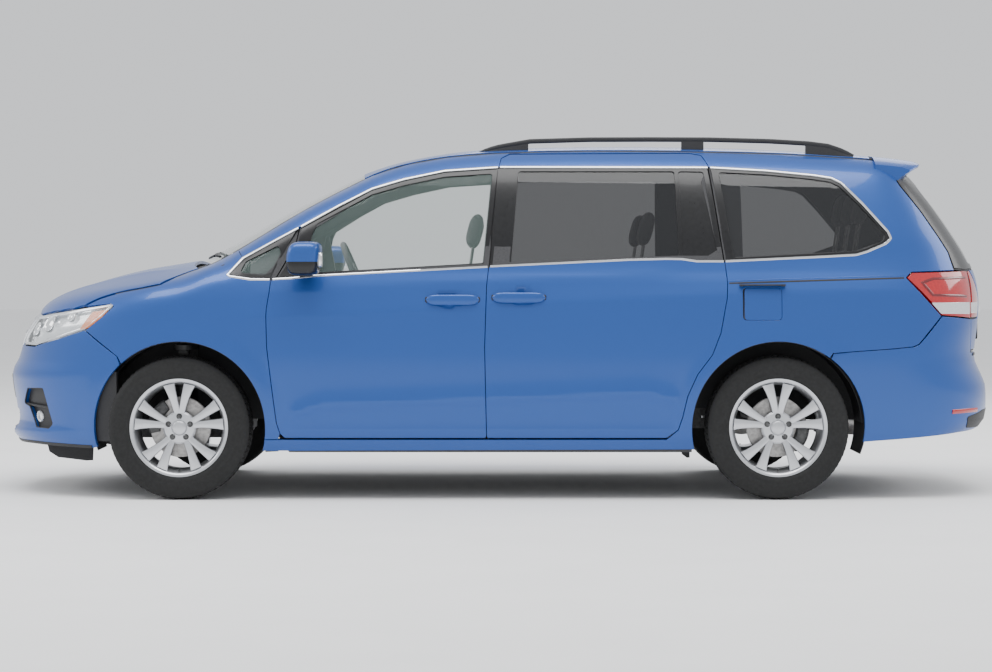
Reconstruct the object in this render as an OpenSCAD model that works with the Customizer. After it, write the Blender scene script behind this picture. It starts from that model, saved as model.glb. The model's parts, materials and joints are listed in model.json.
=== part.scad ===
// Minivan: a unitary body with hinged front doors, bonnet, tailgate and fuel flap, fixed sliding
// doors, three rows of seats and four wheels, the front pair steered.
// X runs forward, Y to the left and Z up. The origin is on the ground, half way along the body.

/* [Body] */
// Overall length, bumper to bumper
body_length = 5150; // [4400:10:6200]
// Overall width without the mirrors
body_width = 2010; // [1700:10:2400]
// Height of the roof skin's highest point above the ground
roof_height = 1800; // [1620:10:2100]
// Height of the window sill line at the middle of the body
belt_height = 1150; // [1080:5:1250]
// Height of the sills' lower edge above the ground
sill_height = 232; // [190:1:280]
// Gap between a moving panel and its neighbours
shut_gap = 6; // [5:0.5:8]
// Thickness of the doors and walls below the windows
wall_low = 100; // [80:1:120]
// Thickness of the window frames and pillars
wall_high = 44; // [36:1:56]
// Thickness of the fixed and moving glass
glass_t = 6; // [4:0.5:8]

/* [Running gear] */
// Distance between the axles
wheelbase = 3000; // [2600:10:3600]
// Distance from the nose to the front axle
front_overhang = 985; // [940:5:1100]
// Outer diameter of the tyres
tyre_d = 720; // [640:2:760]
// Width of the tyres
tyre_w = 235; // [195:5:245]
// Diameter of the rims over their flanges
rim_d = 492; // [420:2:520]
// Distance between the tyres' middle planes
track = 1730; // [1600:5:1760]
// Clearance between the tyre and the wheel arch
arch_clear = 70; // [60:1:90]
// Distance of the steering axis inboard of the tyre's middle plane
kingpin_offset = 100; // [85:1:110]
// Radius of the wheel spindles
spindle_r = 30; // [22:1:34]

/* [Roof rails] */
// Height of the rails' top above the roof's highest point
rail_rise = 36; // [24:1:60]
// Thickness of a rail's bar
rail_t = 28; // [20:1:36]

/* [Hidden] */

// The body is drawn in design coordinates, and these say where they lie at the sizes above.
design_length = 5150;
design_width = 2010;
design_front_axle = 1590;
design_rear_axle = -1410;
design_sill = 232;
design_belt = 1150;
design_roof = 1800;
front_axle = body_length / 2 - front_overhang;
rear_axle = front_axle - wheelbase;
x_map = [
    [-design_length, -design_length / 2 - body_length / 2],
    [-design_length / 2, -body_length / 2],
    [design_rear_axle, rear_axle],
    [design_front_axle, front_axle],
    [design_length / 2, body_length / 2],
    [design_length, design_length / 2 + body_length / 2]
];
z_map = [
    [-1000, sill_height - design_sill - 1000], [design_sill, sill_height],
    [design_belt, belt_height], [design_roof, roof_height], [2800, roof_height + 1000]
];
function X(x) = lookup(x, x_map);
function Z(z) = lookup(z, z_map);
function Y(y) = y * body_width / design_width;

// A smooth curve through a table of [t, value] rows, with the slope of its neighbours at each row.
function row(table, t, i = 0) =
    i >= len(table) - 2 || t < table[i + 1][0] ? i : row(table, t, i + 1);
function slope(table, i) =
    let (a = max(i - 1, 0), b = min(i + 1, len(table) - 1))
    (table[b][1] - table[a][1]) / (table[b][0] - table[a][0]);
function smooth(table, t) =
    t <= table[0][0] ? table[0][1] :
    t >= table[len(table) - 1][0] ? table[len(table) - 1][1] :
    let (
        i = row(table, t),
        h = table[i + 1][0] - table[i][0],
        u = (t - table[i][0]) / h,
        u2 = u * u,
        u3 = u2 * u
    )
    table[i][1] * (2 * u3 - 3 * u2 + 1) + slope(table, i) * h * (u3 - 2 * u2 + u) +
    table[i + 1][1] * (3 * u2 - 2 * u3) + slope(table, i + 1) * h * (u3 - u2);
// The larger of two values, rounded over where they are within r of each other.
function round_max(a, b, r) = max(a, b) + pow(max(r - abs(a - b), 0), 2) / (4 * r);

// Shape tables, in design coordinates.
half_w = design_width / 2;
// Height of the centre line of bonnet, windscreen and roof
top_line = [
    [-2300, 1706], [-2013, 1745], [-1800, 1762], [-1400, 1785], [-1000, 1797], [-600, 1800],
    [-200, 1795], [140, 1779], [460, 1729], [680, 1665], [890, 1565], [1110, 1453], [1320, 1331],
    [1450, 1256], [1545, 1205], [1620, 1191], [1860, 1154], [2080, 1098], [2290, 1027],
    [2385, 970], [2440, 906]
];
// How far the top's cross lines bend back at y = 700, and how far they drop there
bend_back = [[-600, 0], [300, 40], [700, 98], [1500, 110], [1700, 60], [2000, 20], [2400, 0]];
cross_drop = [
    [-2300, 30], [-1500, 38], [0, 38], [600, 24], [1000, 10], [1400, 12], [1650, 50], [2300, 70]
];
// How far the side lies inboard of the widest line, by height
side_inset = [
    [200, 84], [232, 70], [300, 40], [420, 18], [600, 4], [740, 0], [880, 6], [1000, 22],
    [1090, 46], [1150, 70], [1220, 92], [1320, 116], [1420, 148], [1520, 186], [1600, 224],
    [1660, 262], [1800, 360]
];
// How far the side narrows in plan, low down and at the roof
plan_low = [
    [-2575, 110], [-2200, 62], [-1800, 22], [-1400, 6], [-900, 0], [900, 0], [1300, 4],
    [1700, 18], [2100, 50], [2575, 90]
];
plan_high = [
    [-2400, 110], [-2100, 74], [-1700, 38], [-1200, 10], [-700, 0], [300, 0], [700, 16],
    [1000, 40], [1300, 66], [1600, 80]
];
// Where the nose and tail end on the centre line, by height
nose_line = [
    [200, 2470], [260, 2525], [313, 2562], [357, 2536], [445, 2542], [560, 2560], [627, 2562],
    [689, 2530], [802, 2505], [853, 2482], [906, 2444], [1000, 2350], [1100, 2080]
];
tail_line = [
    [300, 2470], [345, 2540], [400, 2570], [545, 2572], [600, 2552], [680, 2514], [730, 2510],
    [885, 2530], [1000, 2536], [1118, 2520], [1223, 2476], [1323, 2416], [1486, 2300],
    [1600, 2205], [1700, 2115], [1760, 2060]
];
nose_start = 1700;
tail_start = -1850;
corner_round = 110;

function squircle(t, n, m) = t <= 0 ? 1 : t >= 1 ? 1 - t - 0.001 : pow(1 - pow(t, n), 1 / m);
function ends(x, z) =
    x > nose_start ?
        squircle((x - nose_start) / (smooth(nose_line, z) - nose_start), 2.2, 2.6) :
        squircle((tail_start - x) / (tail_start + smooth(tail_line, z)), 3.4, 3.0);
function side_blend(z) = let (u = min(max((z - 1000) / 600, 0), 1)) u * u * (3 - 2 * u);
// Half width of the side before it rounds into the top
function side_y(x, z) =
    let (u = side_blend(z))
    (half_w - smooth(side_inset, z) - (1 - u) * smooth(plan_low, x) - u * smooth(plan_high, x)) *
    ends(x, z);
// Height of the top before it rounds into the side
function top_z(x, y) =
    let (q = pow(y / 700, 2))
    smooth(top_line, x + smooth(bend_back, x) * q) - smooth(cross_drop, x) * q;
// Below zero inside the body
function body(x, y, z) = round_max(abs(y) - side_y(x, z), z - top_z(x, y), corner_round);
// The body's half width at a height, and its height at a distance from the centre line
function skin_y(x, z, a = 0, b = 1100, n = 13) =
    n == 0 ? (a + b) / 2 :
    let (m = (a + b) / 2) body(x, m, z) > 0 ? skin_y(x, z, a, m, n - 1) : skin_y(x, z, m, b, n - 1);
function skin_z(x, y, a = 600, b = 1850, n = 13) =
    n == 0 ? (a + b) / 2 :
    let (m = (a + b) / 2) body(x, y, m) > 0 ? skin_z(x, y, a, m, n - 1) : skin_z(x, y, m, b, n - 1);
// Distance to the skin from a pivot on the centre line, in a direction in plan
function skin_r(px, phi, z, a = 0, b = 1500, n = 14) =
    n == 0 ? (a + b) / 2 :
    let (m = (a + b) / 2)
    body(px + m * cos(phi), m * sin(phi), z) > 0 ?
        skin_r(px, phi, z, a, m, n - 1) : skin_r(px, phi, z, m, b, n - 1);

// The seam between side and top, in side view
seam_line = [
    [-1930, 1718], [-1500, 1746], [-1000, 1758], [-500, 1762], [0, 1750], [250, 1730],
    [460, 1692], [640, 1636], [991, 1453], [1313, 1256], [1470, 1176], [1565, 1141],
    [1628, 1114], [1697, 1076], [1876, 1042], [2003, 1007], [2087, 966], [2200, 900]
];
function seam_y(x) = skin_y(x, smooth(seam_line, x));

// A closed sheet between two grids of points, rows by columns.
function sheet_faces(nu, nv) =
    let (n = nu * nv, o = function (i, j) i * nv + j, k = function (i, j) n + i * nv + j)
    concat(
        [for (i = [0 : nu - 2], j = [0 : nv - 2]) each [
            [o(i, j), o(i + 1, j), o(i + 1, j + 1)], [o(i, j), o(i + 1, j + 1), o(i, j + 1)],
            [k(i, j), k(i + 1, j + 1), k(i + 1, j)], [k(i, j), k(i, j + 1), k(i + 1, j + 1)]]],
        [for (i = [0 : nu - 2]) each [
            [o(i, 0), k(i, 0), k(i + 1, 0)], [o(i, 0), k(i + 1, 0), o(i + 1, 0)],
            [o(i, nv - 1), k(i + 1, nv - 1), k(i, nv - 1)],
            [o(i, nv - 1), o(i + 1, nv - 1), k(i + 1, nv - 1)]]],
        [for (j = [0 : nv - 2]) each [
            [o(0, j), k(0, j + 1), k(0, j)], [o(0, j), o(0, j + 1), k(0, j + 1)],
            [o(nu - 1, j), k(nu - 1, j), k(nu - 1, j + 1)],
            [o(nu - 1, j), k(nu - 1, j + 1), o(nu - 1, j + 1)]]]
    );
module sheet(outer, inner) {
    polyhedron(points = [for (g = [outer, inner]) each [for (r = g) each r]],
        faces = sheet_faces(len(outer), len(outer[0])));
}
function span(a, b, n) = [for (i = [0 : n]) a + (b - a) * i / n];

// Depth of the side wall at a height: a thick door or wall below the windows, a thin frame above.
function wall_t(z) = wall_high + (wall_low - wall_high) * (1 - side_blend(z * 2 - 1000));

// A stretch of the left side wall, from z0 up to the seam or to z1, set in from the skin.
// How much lower the wall's inner face ends at the top, so that it stays below the roof
top_drop = 18;
module side_wall(
    x0, x1, z0, z1 = 9999, nx = 10, nz = 8, inset = 0, thick = 0, extra = 0, below = 0
) {
    xs = span(x0, x1, nx);
    vs = span(0, 1, nz);
    function zs(x, v) = z0 + (min(z1, smooth(seam_line, x) - below) - z0) * (1 - pow(1 - v, 1.5));
    sheet(
        [for (x = xs) [for (v = vs) let (z = zs(x, v))
            [X(x), Y(skin_y(x, z)) - inset, Z(z)]]],
        [for (x = xs) [for (v = vs) let (z = zs(x, v))
            [X(x), Y(skin_y(x, z)) - (thick > 0 ? inset + thick : wall_t(z) + extra),
                Z(z) - top_drop * pow(v, 4)]]]
    );
}
// Cuts a shape through the left side, from an outline drawn in side view.
module through_side(depth = 1400) {
    translate([0, depth, 0]) rotate([90, 0, 0]) linear_extrude(depth) children();
}
module outline(points) {
    polygon([for (p = points) [X(p[0]), Z(p[1])]]);
}
// A rounded run through points, as a list of points.
module arch_hole(axle_x) {
    translate([axle_x, axle_z]) circle(r = arch_r, $fn = 72);
    translate([axle_x - arch_r, -200]) square([2 * arch_r, axle_z + 200]);
}
axle_z = tyre_d / 2;
arch_r = tyre_d / 2 + arch_clear;

// Outlines in side view, in design coordinates
front_door_line = [
    [994, 1366], [1012, 1280], [1074, 1166], [1110, 1102], [1137, 1042], [1150, 919],
    [1147, 766], [1125, 575], [1100, 383], [1083, 330], [1049, 308], [50, 308], [60, 766],
    [50, 1072], [37, 1170], [-13, 1675], [262, 1657], [468, 1613], [633, 1564]
];
sliding_door_line = [
    [35, 308], [47, 766], [37, 1072], [24, 1170], [-22, 1650], [-30, 1722], [-69, 1742],
    [-990, 1746], [-1049, 1736], [-1076, 1691], [-1145, 1179], [-1157, 1084], [-1153, 1010],
    [-1120, 836], [-1078, 728], [-1003, 628], [-954, 520], [-929, 413], [-908, 345],
    [-860, 308]
];
front_window_line = [
    [915, 1135], [951, 1340], [633, 1536], [468, 1584], [262, 1628], [20, 1646], [66, 1181]
];
sliding_window_line = [
    [-64, 1190], [-900, 1222], [-1065, 1222], [-1110, 1250], [-1040, 1600], [-1058, 1640],
    [-800, 1655], [-90, 1655], [-106, 1640]
];
quarter_window_line = [
    [-1180, 1214], [-1812, 1246], [-1950, 1296], [-1962, 1330], [-1846, 1480], [-1746, 1586],
    [-1690, 1606], [-1374, 1636], [-1120, 1652]
];
quarter_light_line = [[1300, 1136], [1262, 1200], [1040, 1325], [1120, 1170], [1160, 1130]];
fuel_flap_line = [
    [-1240, 898], [-1418, 898], [-1427, 907], [-1427, 1054], [-1418, 1063], [-1240, 1063],
    [-1231, 1054], [-1231, 907]
];
tail_lamp_line = [
    [-2060, 1111], [-2091, 1137], [-2700, 1148], [-2700, 900], [-2420, 903], [-2245, 920]
];
headlamp_line = [
    [2700, 880], [2385, 909], [2240, 936], [1943, 981], [1925, 968], [1983, 916], [2075, 849],
    [2223, 802], [2373, 758], [2700, 690]
];
// Half the width between the headlamps
grille_half = 400;
gate_low = 735;

// A sheet about a pivot on the centre line, from low(phi) to high(phi), in design coordinates.
module end_sheet(px, phi0, phi1, z0, z1, thick, np = 18, nz = 6, inset = 0) {
    ps = span(phi1, phi0, np);
    zs = span(z0, z1, nz);
    function at(p, z, d) = let (r = skin_r(px, p, z) - d)
        [X(px + r * cos(p)), Y(r * sin(p)), Z(z)];
    sheet([for (p = ps) [for (z = zs) at(p, z, inset)]],
        [for (p = ps) [for (z = zs) at(p, z, inset + thick)]]);
}
// Where the lamps' inner corners hold the top in
lamp_line = [[2080, 900], [2087, 880], [2240, 690], [2385, 470], [2450, 400]];
// A sheet over the top, between two stations and two distances from the centre line.
module top_sheet(x0, x1, half, thick, nx = 12, ny = 12, inset = 0, edge = 0.3) {
    xs = span(x1, x0, nx);
    vs = span(-1, 1, ny);
    function reach(x) = half > 0 ? half : min(seam_y(min(x, 2087)), lookup(x, lamp_line)) - edge;
    function at(x, v, d) = let (y = v * reach(x))
        [X(x), Y(y), Z(skin_z(x, y)) - d];
    sheet([for (x = xs) [for (v = vs) at(x, v, inset)]],
        [for (x = xs) [for (v = vs) at(x, v, inset + thick)]]);
}
module through_end(x0, x1) {
    translate([x0, 0, 0]) rotate([90, 0, 90]) linear_extrude(x1 - x0) children();
}
module through_top() {
    linear_extrude(3000) children();
}
module both_sides(depth = 1400) {
    translate([0, depth, 0]) rotate([90, 0, 0]) linear_extrude(2 * depth) children();
}
module mirrored() {
    children();
    mirror([0, 1, 0]) children();
}
module block(x0, x1, y0, y1, z0, z1) {
    translate([x0, y0, z0]) cube([x1 - x0, y1 - y0, z1 - z0]);
}

// The body shell
sill_inner = 770;
module floor_pan() {
    color("dimgray") {
        y = Y(sill_inner);
        f = Z(300);
        block(X(-930), X(1138), -y, y, f, f + 30);
        block(X(-2400), X(-930), -Y(600), Y(600), f + 160, f + 190);
        block(X(-960), X(-930), -Y(600), Y(600), f + 30, f + 160);
        mirrored() {
            block(X(-880), X(1100), y, Y(822), Z(250), Z(380));
            block(X(1138) + 0.3, X(2330), Y(400), Y(480), Z(430), Z(530));
            for (x = [X(-780), X(960)]) block(x - 60, x + 60, Y(780), Y(820), Z(250) - 18, Z(250));
        }
        // Sill behind the tailgate
        block(X(-2430), X(-2400), -Y(480), Y(480), f + 130, Z(745));
        difference() {
            for (y = [-420, 420]) block(X(-2480), X(-2410), Y(y) - 25, Y(y) + 25, Z(745), Z(790));
            translate([0.3, 0, 0]) gate_sheet();
        }
    }
}

module side_opening(points, grow) {
    through_side() offset(delta = grow) outline(points);
}
module door_space(points, x0, x1) {
    intersection() {
        side_wall(x0, x1, 280, nx = 12, nz = 7, inset = -5, extra = 10);
        side_opening(points, shut_gap / 2 + 1);
    }
}
// The flanges that the doors close against
module door_frame() {
    difference() {
        intersection() {
            side_wall(-1240, 1240, 240, nx = 18, nz = 7, inset = 20, extra = 30, below = 26);
            through_side() outline([
                [1240, 1700], [1240, 1104], [1130, 1094], [1090, 600], [1090, 382], [-925, 382],
                [-960, 560], [-1180, 760], [-1240, 1000], [-1240, 1760], [400, 1760]
            ]);
        }
        side_opening(front_door_line, -34);
        side_opening(sliding_door_line, -34);
        door_space(front_door_line, -20, 1170);
        door_space(sliding_door_line, -1200, 70);
    }
}
module body_panel() {
    difference() {
        intersection() {
            side_wall(-2440, 1360, 236, nx = 28, nz = 8);
            through_side() difference() {
                outline([
                    [1345, 1236], [1281, 1207], [1350, 1121], [1240, 1098.4], [1120, 1082.4], [1000, 1000],
                    [1000, 400], [1052, 301], [1090, 299], [1040, 236],
                    [-1600, 236], [-1600, 700], [-1668, 737], [-1967, 754],
                    [-2089, 766], [-2119, 778], [-2236, 922], [-2060, 1106], [-2088, 1142],
                    [-2440, 1152], [-2440, 1800], [1345, 1800]
                ]);
                arch_hole(rear_axle);
            }
        }
        side_opening(front_door_line, shut_gap / 2);
        side_opening(sliding_door_line, shut_gap / 2);
        side_opening(quarter_window_line, 0);
        side_opening(quarter_light_line, 0);
        through_end(X(-2700), X(-1900)) gate_outline(shut_gap);
    }
}
module body_side() {
    difference() {
        union() {
            body_panel();
            door_frame();
        }
        roof_space([-0.3, 11.5, 23]);
    }
}
// The roof's sheet and its mirror image, moved up by each shift
module roof_space(shifts) {
    for (d = shifts, side = [0, 1]) translate([0, 0, d]) mirror([0, side, 0]) roof_sheet();
}
module body_side_left() {
    color("steelblue") {
        difference() {
            body_side();
            side_opening(fuel_flap_line, shut_gap / 2);
        }
        // Filler bowl, with pads that the closed flap rests on
        difference() {
            block(X(-1445), X(-1215), Y(890), Y(1000), Z(882), Z(1079));
            block(X(-1424), X(-1234), Y(912), Y(1100), Z(890), Z(930));
            block(X(-1424), X(-1234), Y(912), Y(1100), Z(940), Z(1020));
            block(X(-1424), X(-1234), Y(912), Y(1100), Z(1030), Z(1071));
            block(X(-1400), X(-1258), Y(912), Y(1100), Z(890), Z(1071));
            translate([0, -0.3, 0])
                side_wall(-1450, -1200, 880, 1080, nx = 3, nz = 3, inset = -60, thick = 72);
        }
    }
}
module body_side_right() {
    color("steelblue") mirror([0, 1, 0]) body_side();
}

module roof_sheet() {
    top_sheet(-1925, 700, 0, 12, 14, 12);
}
module roof_panel() {
    color("steelblue") intersection() {
        roof_sheet();
        through_top() polygon([for (p = [
            [-1925, -900], [700, -900], [655, -700], [673, -600], [688, -350], [697, 0],
            [688, 350], [673, 600], [655, 700], [700, 900], [-1925, 900]
        ]) [X(p[0]), Y(p[1])]]);
    }
}
module front_fenders() {
    color("steelblue") mirrored() difference() {
        intersection() {
            side_wall(1086, 2300, 236, nx = 22, nz = 8, thick = 26);
            through_side() difference() {
                outline([
                    [1092, 300], [1108, 383], [1134, 575], [1156, 766], [1160, 919], [1153, 1010],
                    [1147, 1046], [1131, 1083], [1240, 1097], [1356, 1119], [1285, 1206], [1347, 1233],
                    [1470, 1192], [1556, 1165], [1607, 1130], [1665, 1081], [1727, 1068],
                    [1924, 1031], [1935, 990], [1918, 968], [1976, 912], [2069, 848],
                    [1886, 709], [1700, 640], [1300, 560], [1170, 236], [1096, 240]
                ]);
                arch_hole(front_axle);
            }
        }
    }
}
bumper_top = [
    [1850, 690], [1880, 697], [2069, 838], [2223, 794], [2373, 750], [2460, 696], [2500, 686],
    [2600, 686]
];
module front_bumper() {
    color("steelblue") difference() {
        intersection() {
            end_sheet(1650, -72, 72, 240, 845, 34, 28, 9);
            both_sides() outline(concat(
                [for (x = span(1700, 2620, 23)) [x, lookup(x, bumper_top)]],
                [[2620, 236], [2030, 236], [1700, 300]]
            ));
        }
        both_sides() arch_hole(front_axle);
        translate([X(2400), Y(420), Z(500)]) rotate([0, 90, 0]) cylinder(h = 300, d = 64, $fn = 48);
        through_end(X(2300), X(2700)) difference() {
            translate([Y(-360), Z(330)]) square([Y(720), 110]);
            for (z = [358, 394]) translate([Y(-370), Z(z)]) square([Y(740), 10]);
        }
    }
    // Crash beam with its brackets and the towing eye's socket
    color("steelblue") difference() {
        block(X(2350), X(2400), -Y(520), Y(520), Z(440), Z(560));
        translate([X(2340), Y(420), Z(500)]) rotate([0, 90, 0]) cylinder(h = 100, d = 24, $fn = 32);
    }
    color("steelblue") mirrored() block(X(2330), X(2350), Y(410), Y(470), Z(440), Z(525));
    color("steelblue") block(X(2400), X(2490), -Y(60), Y(60), Z(450), Z(550));
}
module grille_outline() {
    polygon([
        [-Y(grille_half + 30), Z(908)], [-Y(grille_half), Z(764)], [-Y(330), Z(692)],
        [Y(330), Z(692)], [Y(grille_half), Z(764)], [Y(grille_half + 30), Z(908)]
    ]);
}
module radiator_grille() {
    color("silver") {
        intersection() {
            end_sheet(1650, -32, 32, 690, 912, 24, 14, 4, 40);
            through_end(X(2200), X(2600)) grille_outline();
        }
        for (z = [716, 776, 836]) intersection() {
            end_sheet(1650, -34, 34, z, z + 34, 44, 14, 1, 2);
            through_end(X(2200), X(2600)) grille_outline();
        }
    }
}
module headlamps() {
    color("white") mirrored() intersection() {
        end_sheet(1650, 15, 72, 690, 990, 90, 12, 6, 1);
        through_side() outline([for (p = headlamp_line) [p[0], p[1] - 0.4]]);
        through_end(X(1800), X(2600)) polygon([
            [Y(grille_half + 38), Z(912)], [Y(grille_half + 8), Z(764)], [Y(338), Z(692)],
            [Y(1100), Z(692)], [Y(1100), Z(1000)], [Y(grille_half + 60), Z(1000)]
        ]);
    }
}
function screen_y(x) = seam_y(x) - (wall_high + 0.3) * design_width / body_width;
module windscreen() {
    xs = [680, 900, 1100, 1300, 1440];
    color("lightblue") intersection() {
        top_sheet(640, 1550, 0, 10, 10, 12, 2);
        through_top() polygon([for (p = concat(
            [for (i = [0 : 4]) [xs[i], screen_y(xs[i])]], [[1518, 350], [1540, 0], [1518, -350]],
            [for (i = [4 : -1 : 0]) [xs[i], -screen_y(xs[i])]], [[696, -350], [704, 0], [696, 350]]
        )) [X(p[0]), Y(p[1])]]);
    }
}
module cowl_panel() {
    color("dimgray") {
        block(X(1108), X(1138), -Y(760), Y(760), Z(330), Z(1070));
        block(X(1108), X(1420), -Y(640), Y(640), Z(1060), Z(1085));
        intersection() {
            top_sheet(1400, 1640, 640, 20, 6, 12, 26);
            through_top() polygon([for (p = [
                [1446, 640], [1523, 350], [1545, 0], [1523, -350], [1446, -640],
                [1600, -640], [1600, 640]
            ]) [X(p[0]), Y(p[1])]]);
        }
        difference() {
            block(X(1400), X(1420), -Y(560), Y(560), Z(1085), Z(1230));
            translate([0, 0, 58.5]) top_sheet(1380, 1550, 640, 70, 4, 12, 2);
            block(X(1390), X(1430), -Y(530), Y(530), Z(1090), Z(1300));
        }
        for (y = [-540, 540]) block(X(1410), X(1480), Y(y) - 15, Y(y) + 15, Z(1085), Z(1150));
        // Stops for the bonnet
        difference() {
            for (y = [-400, 400]) block(X(1568), X(1598), Y(y) - 20, Y(y) + 20, Z(1120), Z(1165));
            bonnet_sheet(22.3);
        }
    }
}
module sliding_door() {
    color("steelblue") difference() {
        intersection() {
            side_wall(-1170, 60, 300, nx = 18, nz = 9);
            side_opening(sliding_door_line, -shut_gap / 2);
        }
        side_opening(sliding_window_line, 0);
    }
}
module sliding_door_left() {
    sliding_door();
}
module sliding_door_right() {
    mirror([0, 1, 0]) sliding_door();
}
module pane(points, x0, x1, z0) {
    intersection() {
        side_wall(x0, x1, z0, nx = 6, nz = 6, inset = 4, thick = glass_t);
        side_opening(points, -0.3);
    }
}
module side_glass() {
    color("gray") mirrored() {
        pane(sliding_window_line, -1130, -50, 1180);
        pane(quarter_window_line, -1980, -1100, 1190);
        pane(quarter_light_line, 1020, 1320, 1120);
    }
}
rear_bumper_line = [
    [-1669, 727], [-1967, 746], [-2089, 757], [-2119, 770], [-2236, 900], [-2420, 897],
    [-2420, gate_low - 8], [-2700, gate_low - 8], [-2700, 290], [-2340, 318], [-1841, 285],
    [-1700, 500]
];
module rear_bumper() {
    color("steelblue") difference() {
        intersection() {
            end_sheet(-1500, 104, 256, 290, 905, 34, 30, 8);
            both_sides() outline(rear_bumper_line);
        }
        through_end(X(-2700), X(-2300)) intersection() {
            gate_outline(shut_gap);
            translate([-1000, Z(gate_low - 8)]) square([2000, 1000]);
        }
        both_sides() arch_hole(rear_axle);
    }
    color("steelblue") block(X(-2500), X(-2440), -Y(560), Y(560), Z(440), Z(560));
}
module tail_lamps() {
    color("darkred") mirrored() difference() {
        intersection() {
            end_sheet(-1500, 104, 150, 890, 1155, 70, 12, 4, 1);
            through_side() offset(delta = -3) outline(tail_lamp_line);
        }
        through_end(X(-2700), X(-1900)) gate_outline(shut_gap);
    }
}
module roof_rails() {
    top = Z(design_roof) + rail_rise;
    function base(x) = Z(skin_z(x, 566)) - 12;
    color("black") mirrored() difference() {
        translate([0, Y(566) + 14, 0]) rotate([90, 0, 0]) linear_extrude(28) difference() {
            polygon(concat(
                [[X(95), base(95) + 16], [X(-19), top - 36], [X(-173), top - 10], [X(-481), top],
                    [X(-1097), top], [X(-1405), top - 10], [X(-1713), top - 31],
                    [X(-1815), base(-1815) + 30]],
                [for (x = span(-1849, 95, 16)) [X(x), base(x)]]
            ));
            for (w = [[-160, -940], [-1085, -1600]]) polygon([
                [X(w[0]), base(w[0]) - 9], [X(w[0] - 110), top - rail_t - 12],
                [X(w[1] + 110), top - rail_t - (w[1] < -1200 ? 16 : 4)],
                [X(w[1]), base(w[1]) - 9], [X((w[0] + w[1]) / 2), base(w[1]) - 60]
            ]);
        }
        roof_space([0.3, -5, -11]);
    }
}

// Inside the body
// Centre of the steering wheel, and the way its shaft points
hub_x = 735;
hub_z = 1120;
shaft_tilt = -68;
module on_shaft() {
    translate([X(hub_x), Y(370), Z(hub_z)]) rotate([0, shaft_tilt, 0]) children();
}
module dashboard() {
    color("dimgray") {
        mirrored() translate([0, Y(745), 0]) rotate([90, 0, 0]) linear_extrude(Y(745)) outline([
            [1100, 1088], [1180, 1092], [1190, 1130], [1000, 1140], [870, 1090], [830, 1000],
            [880, 900], [940, 720], [1100, 720]
        ]);
        block(X(560), X(960), -Y(112), Y(112), Z(330), Z(760));
        on_shaft() translate([0, 0, -260]) cylinder(h = 199.6, r = 36, $fn = 48);
    }
}
// One seat: cushion and back in side view, and a headrest on a broad stem.
module seat(x, y, w, h, deep) {
    translate([x, y + w / 2, h]) rotate([90, 0, 0]) {
        linear_extrude(w) polygon([
            [deep / 2, 20], [deep / 2, 130], [deep / 2 - 30, 165], [30 - deep / 2, 140],
            [-150 - deep / 2, 730], [-200 - deep / 2, 750], [-250 - deep / 2, 730],
            [-100 - deep / 2, 120], [-deep / 2, 0], [deep / 2 - 60, 0]
        ]);
        translate([0, 0, w / 2 - 120]) linear_extrude(240) polygon([
            [-190 - deep / 2, 825], [-180 - deep / 2, 1000], [-200 - deep / 2, 1030],
            [-260 - deep / 2, 1025], [-275 - deep / 2, 1000], [-260 - deep / 2, 825]
        ]);
        translate([0, 0, w / 2 - 50]) linear_extrude(100) polygon([
            [-205 - deep / 2, 740], [-210 - deep / 2, 840], [-232 - deep / 2, 840],
            [-225 - deep / 2, 735]
        ]);
    }
}
floor_z = Z(330);
module front_seats() {
    color("gray") for (y = [-370, 370]) {
        seat(X(600), Y(y), 500, floor_z + 100, 520);
        block(X(400), X(770), Y(y) - 190, Y(y) - 130, floor_z, floor_z + 100);
        block(X(400), X(770), Y(y) + 130, Y(y) + 190, floor_z, floor_z + 100);
    }
}
module second_row_seats() {
    color("gray") for (y = [-370, 370]) {
        seat(X(-305), Y(y), 480, floor_z + 110, 500);
        block(X(-495), X(-135), Y(y) - 190, Y(y) - 130, floor_z, floor_z + 110);
        block(X(-495), X(-135), Y(y) + 130, Y(y) + 190, floor_z, floor_z + 110);
    }
}
module third_row_seat() {
    color("gray") {
        for (y = [-385, 0, 385]) seat(X(-1450), Y(y), Y(385) - 1, Z(490) + 60, 460);
        block(X(-1650), X(-1300), -Y(540), Y(540), Z(490), Z(490) + 60);
    }
}
module engine_block() {
    color("silver") block(X(1330), X(2000), -Y(370), Y(370), Z(370), Z(960));
}
module steering_wheel() {
    color("black") on_shaft() {
        rotate_extrude($fn = 64) translate([176, 0]) circle(d = 30, $fn = 24);
        translate([0, 0, -60]) cylinder(h = 80, r = 30, $fn = 48);
        translate([0, 0, -14]) cylinder(h = 28, r = 66, $fn = 64);
        for (a = [0, 90, 180]) rotate([0, 0, a]) translate([50, -20, -9]) cube([120, 40, 18]);
    }
}

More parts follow.
